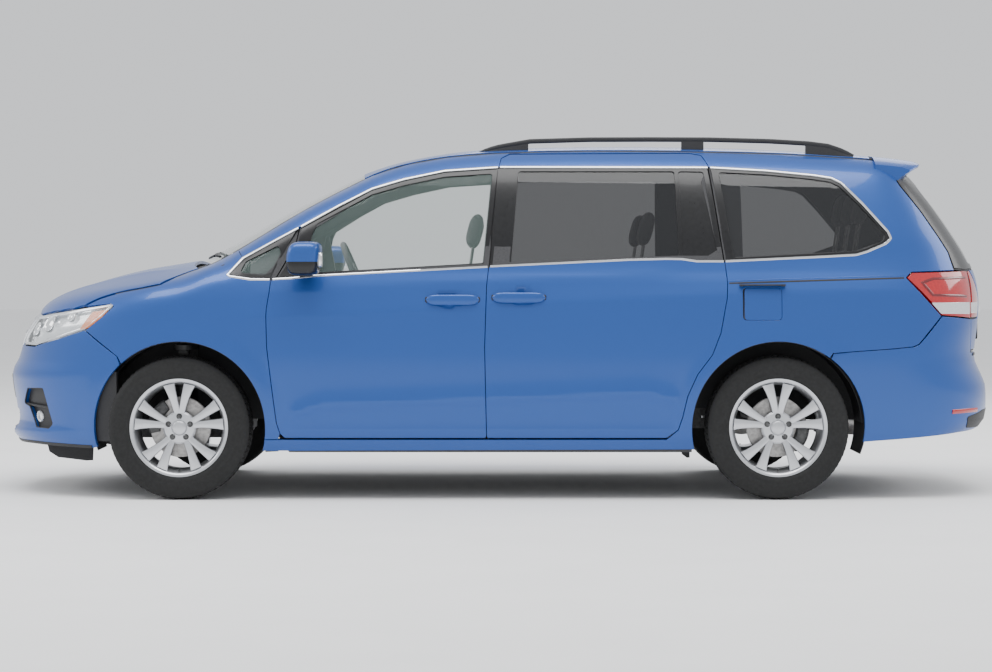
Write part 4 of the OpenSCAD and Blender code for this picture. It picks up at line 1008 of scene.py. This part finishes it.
lamp = on_nose([(x, lamp_top(x) - 1) for x in (2368, 2350, 2300, 2230, 2150, 2087, 2010)]
    + [(1943, 980), (1926, 968), (1983, 916), (2075, 849), (2223, 802), (2373, 760)]) + [fy(406, 762)]
lamp[0] = fy(428, lamp_top(2368) - 2)
lens = both("headlamp_lens", nose, lamp, BODY2, LENS, off=SKIN - 1, gap=1.5, grid=30, back=16, r=6)
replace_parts(lens[0], "headlamps")
both("headlamp_bowl", nose, inset(lamp, 2, 25), BODY2, CLEAR, off=-34, gap=0, grid=30, back=4)
pair("headlamp_bezel", strip(nose, inset(lamp, 9, 25), 14, 7, off=-12, closed=True), BODY2, CHROME)
for nm, (lx, ly, lz, r) in (("low", (2262, 620, 868, 46)), ("high", (2335, 500, 838, 38)),
        ("side", (2150, 760, 906, 30))):
    ang = math.degrees(math.atan2(ly, lx - NOSE_X)) * DEG
    pair("lamp_projector_" + nm, stud(nose, ang, lz, -36,
        [(1, 22), (r * 0.55, 20), (r * 0.8, 14), (r * 0.84, 18), (r, 20), (r * 1.04, 12), (r, -4), (1, -4)],
        40), BODY2, WHITE)
both("headlamp_amber", nose, on_nose([(2042, 939), (1950, 953), (1988, 911), (2061, 857), (2113, 846)]),
    BODY2, AMBER, off=-5, gap=0, grid=30, back=6, r=6)
for nm, ax, a0, a1 in (("front", FRONT_AXLE, -16, 60), ("rear", REAR_AXLE, 115, 198)):
    rings = []
    for t in np.linspace(a0, a1, 24):
        r, c, s_ = ARCH + 5, math.cos(math.radians(t)), math.sin(math.radians(t))
        y1 = float(skin_y(ax + r * c, AXLE_Z + r * s_)) - 8
        rings.append([(ax + (r + d) * c, y, AXLE_Z + (r + d) * s_) for d,
            y in ((0, 560), (0, y1), (5, y1), (5, 560))])
    pair("arch_shield_" + nm, loft(rings), BODY2, UNDER)
pair("air_deflector_front", prism([(2318, 256), (2308, 214), (2262, 184), (2116, 166), (2082, 168),
    (2078, 256)], 560, 572, 3), BODY2, GRAIN)
pair("air_deflector_rear", prism([(-940, 258), (-952, 205), (-978, 186), (-992, 188), (-992, 258)], 640,
    652, 3), BODY2, GRAIN)

# ---------------------------------------------------------------- rear end
bumper_half = [(0, 727)] + on_tail([(-2427, 727), (-2424, 898), (-2420, 900), (-2244, 917), (-2119, 776),
    (-2089, 764), (-1967, 753), (-1681, 733)] + wheel_arc(REAR_AXLE, 127, 190, 26)
    + [(-1841, 286), (-1987, 296), (-2340, 322)]) + [ry(500, 330), (0, 332)]
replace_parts(panel("rear_bumper_skin", tail, both_halves(bumper_half), "body", PAINT, grid=30),
    "rear_bumper")
valance = both_halves([(0, 432), ry(600, 432), ry(770, 404), ry(740, 344), ry(500, 337), (0, 339)])
panel("rear_valance", tail, valance, "body", GRAIN, off=SKIN + 2.5, gap=0, grid=40, back=8, r=16)
pair("rear_reflector", strip(tail, [ry(690, 436), ry(770, 436), ry(850, 434)], 22, 4, off=SKIN), BODY2, RED)
put("bumper_step", *strip(tail, both_ways([(0, 716), ry(600, 716)]), 16, 4, off=SKIN), "body", GRAIN)

gate_low = [(0, 742)] + on_tail([(-2427, 742), (-2422, 898)]) + [ry(550, 903), ry(500, 1000), ry(590, 1150),
    (0, 1158)]
panel("tailgate_skin", tail, both_halves(gate_low), "liftgate", PAINT, grid=30)
GW = [ry(540, 1186), ry(560, 1226), ry(524, 1540), ry(480, 1588)]
window = rounded(GW + flip(GW)[::-1], 20)
frame_half = [(0, 1164), ry(588, 1157)] + on_tail([(-2408, 1152), (-2330, 1159), (-2304, 1242),
    (-2259, 1313), (-2167, 1450), (-2063, 1583), (-2034, 1634)]) + [(0, 1640)]
panel("tailgate_window_frame", tail, both_halves(frame_half), "liftgate", BLACK, slot="body_paint",
      holes=[window], off=3.0, grid=36, hole_back=8)
big = inset(window, -6, 20)
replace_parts(panel("tailgate_window_glass", tail, big, "liftgate", DARKPANE, off=-2, gap=0, roll=0.6,
    back=3.5, grid=60), "tailgate_glass")
out_lamp = on_tail([(-2062, 1112), (-2091, 1137), (-2387, 1146), (-2411, 1146), (-2417, 1100), (-2420, 905),
    (-2246, 921)])
lens = both("tail_lamp_lens", tail, out_lamp, BODY2, RED, off=SKIN - 0.5, gap=1.5, grid=24, back=30, r=5)
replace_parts(lens[0], "tail_lamps")
in_lamp = on_tail([(-2423, 906), (-2418, 1144)]) + [ry(596, 1148), ry(508, 1000), ry(556, 908)]
both("tail_lamp_inner", tail, in_lamp, GATE2, RED, off=SKIN - 0.5, gap=2, grid=24, back=14, r=5)
both("tail_lamp_band", tail, on_tail([(-2238, 930), (-2414, 926), (-2414, 986), (-2186, 986)]), BODY2,
    CLEAR, off=SKIN + 1.0, gap=0, grid=24, back=4, r=5)
both("tail_lamp_inner_band", tail, on_tail([(-2425, 930), (-2424, 984)]) + [ry(540, 986), ry(556, 930)],
    GATE2, CLEAR, off=SKIN + 1.0, gap=0, grid=24, back=4, r=5)
pair("tail_lamp_ring", strip(tail, on_tail([(-2395, 1112), (-2200, 1106), (-2142, 1086), (-2196, 1024),
    (-2395, 1016)]), 13, 1.6, off=SKIN - 0.5), BODY2, DARK_RED)
put("tailgate_garnish", *strip(tail, both_ways([(0, 952), ry(430, 944)]), 40, 9, off=SKIN), "liftgate",
    CHROME)
put("plate_recess", *prism([(y * 1.08, z * 1.15 + 786) for y, z in plate_shape], -2540, -2530, 3, "x"),
    "liftgate", GRAIN)
put("rear_plate", *prism([(y, z + 794) for y, z in plate_shape], -2546, -2539, 1.5, "x"), "liftgate", PLATE)
put("rear_wiper_hub", *stud(tail, *ry(8, 1262), 2, [(1, 30), (12, 30), (19, 24), (22, 8), (24, -4),
    (1, -4)], 28), "liftgate", GRAIN)
put("rear_wiper_arm", *strip(tail, [ry(8, 1262)] + flip([ry(120, 1244), ry(360, 1222)]), 16, 12, off=14),
    "liftgate", GRAIN)
put("rear_wiper_blade", *strip(tail, flip([ry(150, 1216), ry(300, 1212), ry(470, 1214)]), 10, 12, off=4),
    "liftgate", GRAIN)
rings = []
SPOILER_HALF, SPOILER_FLAT = 668, 540
TIP_X, TIP_SWEEP, TIP_DROP, SPOILER_DEEP = -2188, 70, 34, 84
for y in np.concatenate([[-SPOILER_HALF, -660], np.linspace(-640, 640, 27), [660, SPOILER_HALF]]):
    q = max(0.0, (abs(y) - SPOILER_FLAT) / (SPOILER_HALF - SPOILER_FLAT)) ** 2
    tip = TIP_X + TIP_SWEEP * q
    T = lambda x: float(top_z(x, y)) - TIP_DROP * q
    sec = [(-1942, T(-1942) + 4), (-2010, T(-2010) + 4), (-2080, T(-2080) + 4), (tip + 40, T(tip + 40) + 3),
        (tip + 4, T(tip) - 4), (tip, T(tip) - 10), (tip + 5, T(tip) - 18), (tip + 45, T(tip) - 42),
        (tip + 90, T(tip) - SPOILER_DEEP), (-2000, T(-2000) - SPOILER_DEEP), (-1942, T(-1942) - 34)]
    rings.append([(x, y, z) for x, z in sec])
put("spoiler", *loft(rings), "liftgate", PAINT)
put("high_stop_lamp", *prism([(-130, 0), (130, 0), (124, 14), (-124, 14)], 0, 10, 2, "x"), "liftgate",
    RED).location = (-2.158, 0, 1.672)

# ---------------------------------------------------------------- side pieces
HANDLE_HALF, HANDLE_MOUNT, HANDLE_SIZE = 136, 116, 24
for nm, xc, zc, bodies in (("front_door_handle", 220, 1001, DOORS),
        ("slide_door_handle", -111, 1012, BODY2)):
    rings = []
    for k in range(25):
        u = k / 24 * 2 - 1
        x = xc + HANDLE_HALF * u
        h = HANDLE_SIZE * (1 - abs(u) ** 6) ** 0.5 + 2
        stand = HANDLE_SIZE * (1 - u ** 8) + 4
        y0 = float(skin_y(x, zc)) + 2
        rings.append([(x, y0 + stand + 5 * math.sin(t) * 1.6 + (-4 if stand > 8 else 0),
            zc + h * math.cos(t)) for t in np.linspace(0, 2 * math.pi, 16, endpoint=False)])
    pair(nm, loft(rings), bodies, PAINT)
    ends_part = []
    for u in (-1, 1):
        x = xc + HANDLE_MOUNT * u
        ends_part.append(blob((x, float(skin_y(x, zc)) + 6, zc), (22, 12, 17), 0.6, 12, 20))
    pair(nm + "_mounts", merge(ends_part), bodies, GRAIN)
pair("slide_track", strip(side, [(-1164, 1083), (-1600, 1097), (-2050, 1110)], 10, 1.0, off=SKIN - 0.6),
    BODY2, GRAIN)
pair("slide_track_lip", strip(side, [(-1164, 1095), (-1600, 1109), (-2050, 1122)], 4, 2.0, off=SKIN - 0.6),
    BODY2, PAINT)

c, h = (958, 1072, 1207), (80, 92, 84)
V, F = blob(c, h, 0.52, 40, 56)
V[:, 0] += 10 * (V[:, 1] - c[1]) / h[1] - 14 * np.clip((V[:, 2] - c[2]) / h[2], 0, 1)
mid = np.array([V[list(f)].mean(0)[2] for f in F])
idx = np.where(mid > 1205, 0, np.where(mid > 1196, 1, 2))
for s, body_name, sd in ((1, "door_left", "left"), (-1, "door_right", "right")):
    ob = make("mirror_shell_" + sd, V * np.array([1, s, 1]), F if s > 0 else [list(f)[::-1] for f in F],
        None, mats=[PAINT, CLEAR, BLACK], index=idx)
    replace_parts(ride(ob, body_name), "door_mirror_" + sd)
foot = sweep([(955, 905, 1122), (955, 950, 1134), (956, 1000, 1150), (957, 1030, 1165)], oval(70, 34))
pair("mirror_foot", foot, DOORS, GRAIN)
pair("mirror_glass", prism(rounded([(1024, 1164), (1104, 1164), (1108, 1240), (1024, 1244)], 26), 868, 884,
    3, "x"), DOORS, WHITE)

RAIL_Y = 566.0
rail_line = [(88, 1762), (40, 1784), (-19, 1800), (-173, 1827), (-481, 1836), (-789, 1837), (-1097, 1836),
    (-1405, 1828), (-1610, 1816), (-1713, 1803), (-1790, 1776), (-1840, 1748)]
rx = np.linspace(88, -1840, 60)


def rail_top(x):
    return np.interp(-np.asarray(x), [-p[0] for p in rail_line], [p[1] for p in rail_line])


rail = sweep([(x, RAIL_Y, z) for x, z in zip(rx, rail_top(rx) - 13)], oval(30, 25, 14))
feet = []
for x0, x1 in ((84, -165), (-955, -1069), (-1596, -1838)):
    rings = []
    for x in np.linspace(x0, x1, 9):
        zb = float(skin_z(x, RAIL_Y)) - 1
        zr = max(float(rail_top(x)) - 12, zb + 4)
        rings.append([(x, RAIL_Y - 17, zb), (x, RAIL_Y - 12, zr), (x, RAIL_Y + 12, zr),
            (x, RAIL_Y + 17, zb)])
    feet.append(loft(rings))
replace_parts(pair("roof_rail", merge([rail] + feet), BODY2, GRAIN)[0], "roof_rails")
for k, (y0, y1) in enumerate(((-560, 20), (10, 590))):
    xa = lambda y: 1515 - 62 * (y / 600) ** 2
    put("wiper_blade_%d" % k, *strip(top, [(xa(y0) - 28, y0), (xa((y0 + y1) / 2) - 20, (y0 + y1) / 2),
        (xa(y1) - 34, y1)], 10, 9, off=1), "body", GRAIN)
    put("wiper_arm_%d" % k, *strip(top, [(xa(y0 + 40) + 18, y0 + 60), (xa(y0 + 200) - 4, y0 + 220),
        (xa((y0 + y1) / 2) - 22, (y0 + y1) / 2 + 20)], 15, 7, off=4), "body", GRAIN)

# ---------------------------------------------------------------- seats
VOXEL, PUMP, LAST_FRAME = 0.012, 4, 20   # m, pressure of the cloth form, frames it is blown up for


def settled(ob):
    """The object's mesh with its modifiers applied."""
    return bpy.data.meshes.new_from_object(ob.evaluated_get(bpy.context.evaluated_depsgraph_get()))


def coords_of(me):
    return np.array([v.co for v in me.vertices])


def swell(V, F, sewn, cap):
    """Blows a closed form up as stitched cloth; sewn tells which points stay put."""
    ob = make("pad_form", V, F, None, CLOTH)
    scene = bpy.context.scene
    rm = ob.modifiers.new("remesh", "REMESH")
    rm.mode = "VOXEL"
    rm.voxel_size = VOXEL
    ob.data = settled(ob)
    ob.modifiers.clear()
    start = coords_of(ob.data)
    group = ob.vertex_groups.new(name="sewn")
    group.add([int(i) for i in np.nonzero(sewn(start * 1000))[0]], 1.0, "REPLACE")
    cloth = ob.modifiers.new("cloth", "CLOTH")
    cloth.settings.use_pressure = True
    cloth.settings.uniform_pressure_force = PUMP
    cloth.settings.vertex_group_mass = "sewn"
    cloth.settings.effector_weights.gravity = 0
    for f in range(1, LAST_FRAME + 1):
        scene.frame_set(f)
    me = settled(ob)
    move = coords_of(me) - start
    size = np.linalg.norm(move, axis=1)[:, None] + 1e-9
    start += move * np.minimum(1, cap / 1000 / size)
    ob.modifiers.clear()
    scene.frame_set(1)
    me.vertices.foreach_set("co", start.ravel())
    ob.data = me
    ob.modifiers.new("smooth", "SUBSURF").levels = 1
    ob.data = settled(ob)
    ob.modifiers.clear()
    P = coords_of(ob.data) * 1000
    faces = [list(p.vertices) for p in ob.data.polygons]
    bpy.data.objects.remove(ob)
    return P, faces


def channels(*lines):
    """Sewn lines: points within 7 mm of these distances from the middle."""
    return lambda p: np.min([np.abs(np.abs(p[:, 1]) - c) for c in lines], 0) < 7


SEAT_W, SEAT_D = 440.0, 460.0
CUSHION = swell(*blob((0, 0, 85), (SEAT_D / 2, SEAT_W / 2, 58), 0.45, 16, 40), channels(130), 22)
BACKREST = swell(*blob((0, 0, 0), (42, SEAT_W / 2, 285), 0.45, 26, 40), channels(130), 22)
HEADREST = swell(*blob((0, 0, 0), (34, 118, 88), 0.55, 16, 32), lambda p: np.abs(p[:, 2]) < 5, 12)


LEAN = math.atan2(150, 590)   # of the backrests
NARROW, SHORT = 0.94, 0.96    # a cushion's share of its seat's width and depth


def seat(name, x, y, base, wide, deep):
    """Cushion, leaning backrest and headrest, padded, on the CAD seat's place; gives back the cushion."""
    k, d = wide / SEAT_W * NARROW, deep / SEAT_D * SHORT
    c, s = math.cos(LEAN), math.sin(LEAN)
    back = x - deep / 2
    made = []
    for nm, (P, F), at, leans, sc in (
            ("cushion", CUSHION, (x, y, base), False, (d, k, 1)),
            ("backrest", BACKREST, (back - 118, y, base + 420), True, (1, k, 1)),
            ("headrest", HEADREST, (back - 228, y, base + 925), True, (1, 1, 1))):
        Q = P * np.array(sc)
        if leans:
            Q = np.stack([Q[:, 0] * c - Q[:, 2] * s, Q[:, 1], Q[:, 0] * s + Q[:, 2] * c], -1)
        ob = put(name + "_" + nm, Q + np.array(at), F, "body", CLOTH)
        ob.data.polygons.foreach_set("use_smooth", np.ones(len(ob.data.polygons), bool))
        made.append(ob)
    for sy in (-50, 50):
        post = sweep([(back - 196, y + sy, base + 700), (back - 222, y + sy, base + 880)],
            oval(12, 12, 10, 1))
        put("%s_post_%d" % (name, sy), *post, "body", METAL)
    foot = rounded([(x - 185, base - 96), (x + 175, base - 96), (x + 200, base + 20), (x - 215, base + 20)],
        20)
    put(name + "_base", *prism(foot, y - 190, y + 190, 8), "body", GRAIN)
    return made[0]


for row, node, x, ys, base, wide, deep in (
        ("front", "front_seats", 600, (370, -370), 430, 500, 520),
        ("second", "second_row_seats", -305, (370, -370), 440, 480, 500),
        ("third", "third_row_seat", -1450, (385, 0, -385), 550, 384, 460)):
    made = [seat("%s_seat_%d" % (row, k + 1), x, y, base, wide, deep) for k, y in enumerate(ys)]
    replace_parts(made[0], node)

# ---------------------------------------------------------------- camera, floor, light
SENSOR, FOCAL = 36.0, 91.59677419354838   # mm
SHIFT = (0.008064516129032258, -0.06653225806451613)   # shares of the picture's width
cam_data = bpy.data.cameras.new("camera")
cam = bpy.data.objects.new("camera", cam_data)
bpy.context.scene.collection.objects.link(cam)
cam.location = (0.043, 13.6, 1.15)
cam.rotation_euler = (math.radians(90), 0, math.radians(180))
cam_data.sensor_width = SENSOR
cam_data.lens = FOCAL
cam_data.shift_x, cam_data.shift_y = SHIFT
cam_data.clip_end = 200
bpy.context.scene.camera = cam

FAR, UNDER_TYRES = 60000, -1
corners = [(x * FAR, y * FAR, UNDER_TYRES) for x, y in ((-1, -1), (1, -1), (1, 1), (-1, 1))]
make("studio_floor", corners, [(0, 1, 2, 3)], None, FLOOR, smooth=False)
world = bpy.data.worlds.new("studio")
world.use_nodes = True
set_inputs(world.node_tree.nodes["Background"].inputs, Color=(0.95, 0.97, 1.0, 1), Strength=0.95)
bpy.context.scene.world = world


def area_light(name, loc, size, size_y, power, target=(0, 0, 0.8)):
    d = bpy.data.lights.new(name, "AREA")
    d.shape = "RECTANGLE"
    d.size, d.size_y = size, size_y
    d.energy = power
    o = bpy.data.objects.new(name, d)
    bpy.context.scene.collection.objects.link(o)
    o.location = loc
    o.rotation_euler = (Vector(target) - Vector(loc)).to_track_quat("-Z", "Y").to_euler()


area_light("key", (0.5, 3.2, 10.5), 11, 5, 1150)
area_light("fill", (-3.0, -8.0, 6.5), 8, 4, 260)
area_light("front", (9.0, 1.0, 5.0), 5, 3, 200)
area_light("back", (-9.0, -1.0, 5.0), 5, 3, 200)

# CAD nodes that stay on show
NODE_MATS = {"body_paint": PAINT, "underbody": UNDER, "black_plastic": GRAIN, "trim_plastic": TRIM,
    "bright_trim": CHROME, "lamp_clear": CLEAR, "lamp_red": RED, "clear_glass": PANE,
    "dark_glass": DARKPANE, "seat_cloth": CLOTH, "cast_metal": METAL, "steel_parts": CAST,
    "wheel_silver": SILVER, "tyre_rubber": TYRE, "exhaust_steel": METAL}
slots = {s["node"]: s["material_slot"] for s in frame["record"]["subparts"]}
for node, ob in frame["nodes"].items():
    for ms in ob.material_slots:
        # CAD body panels take the dark lining: interior trim seen through the glass, and painted shade in the
        # panel gaps
        ms.material = LINING_AND_GAP_SHADE if slots[node] == "body_paint" else NODE_MATS[slots[node]]
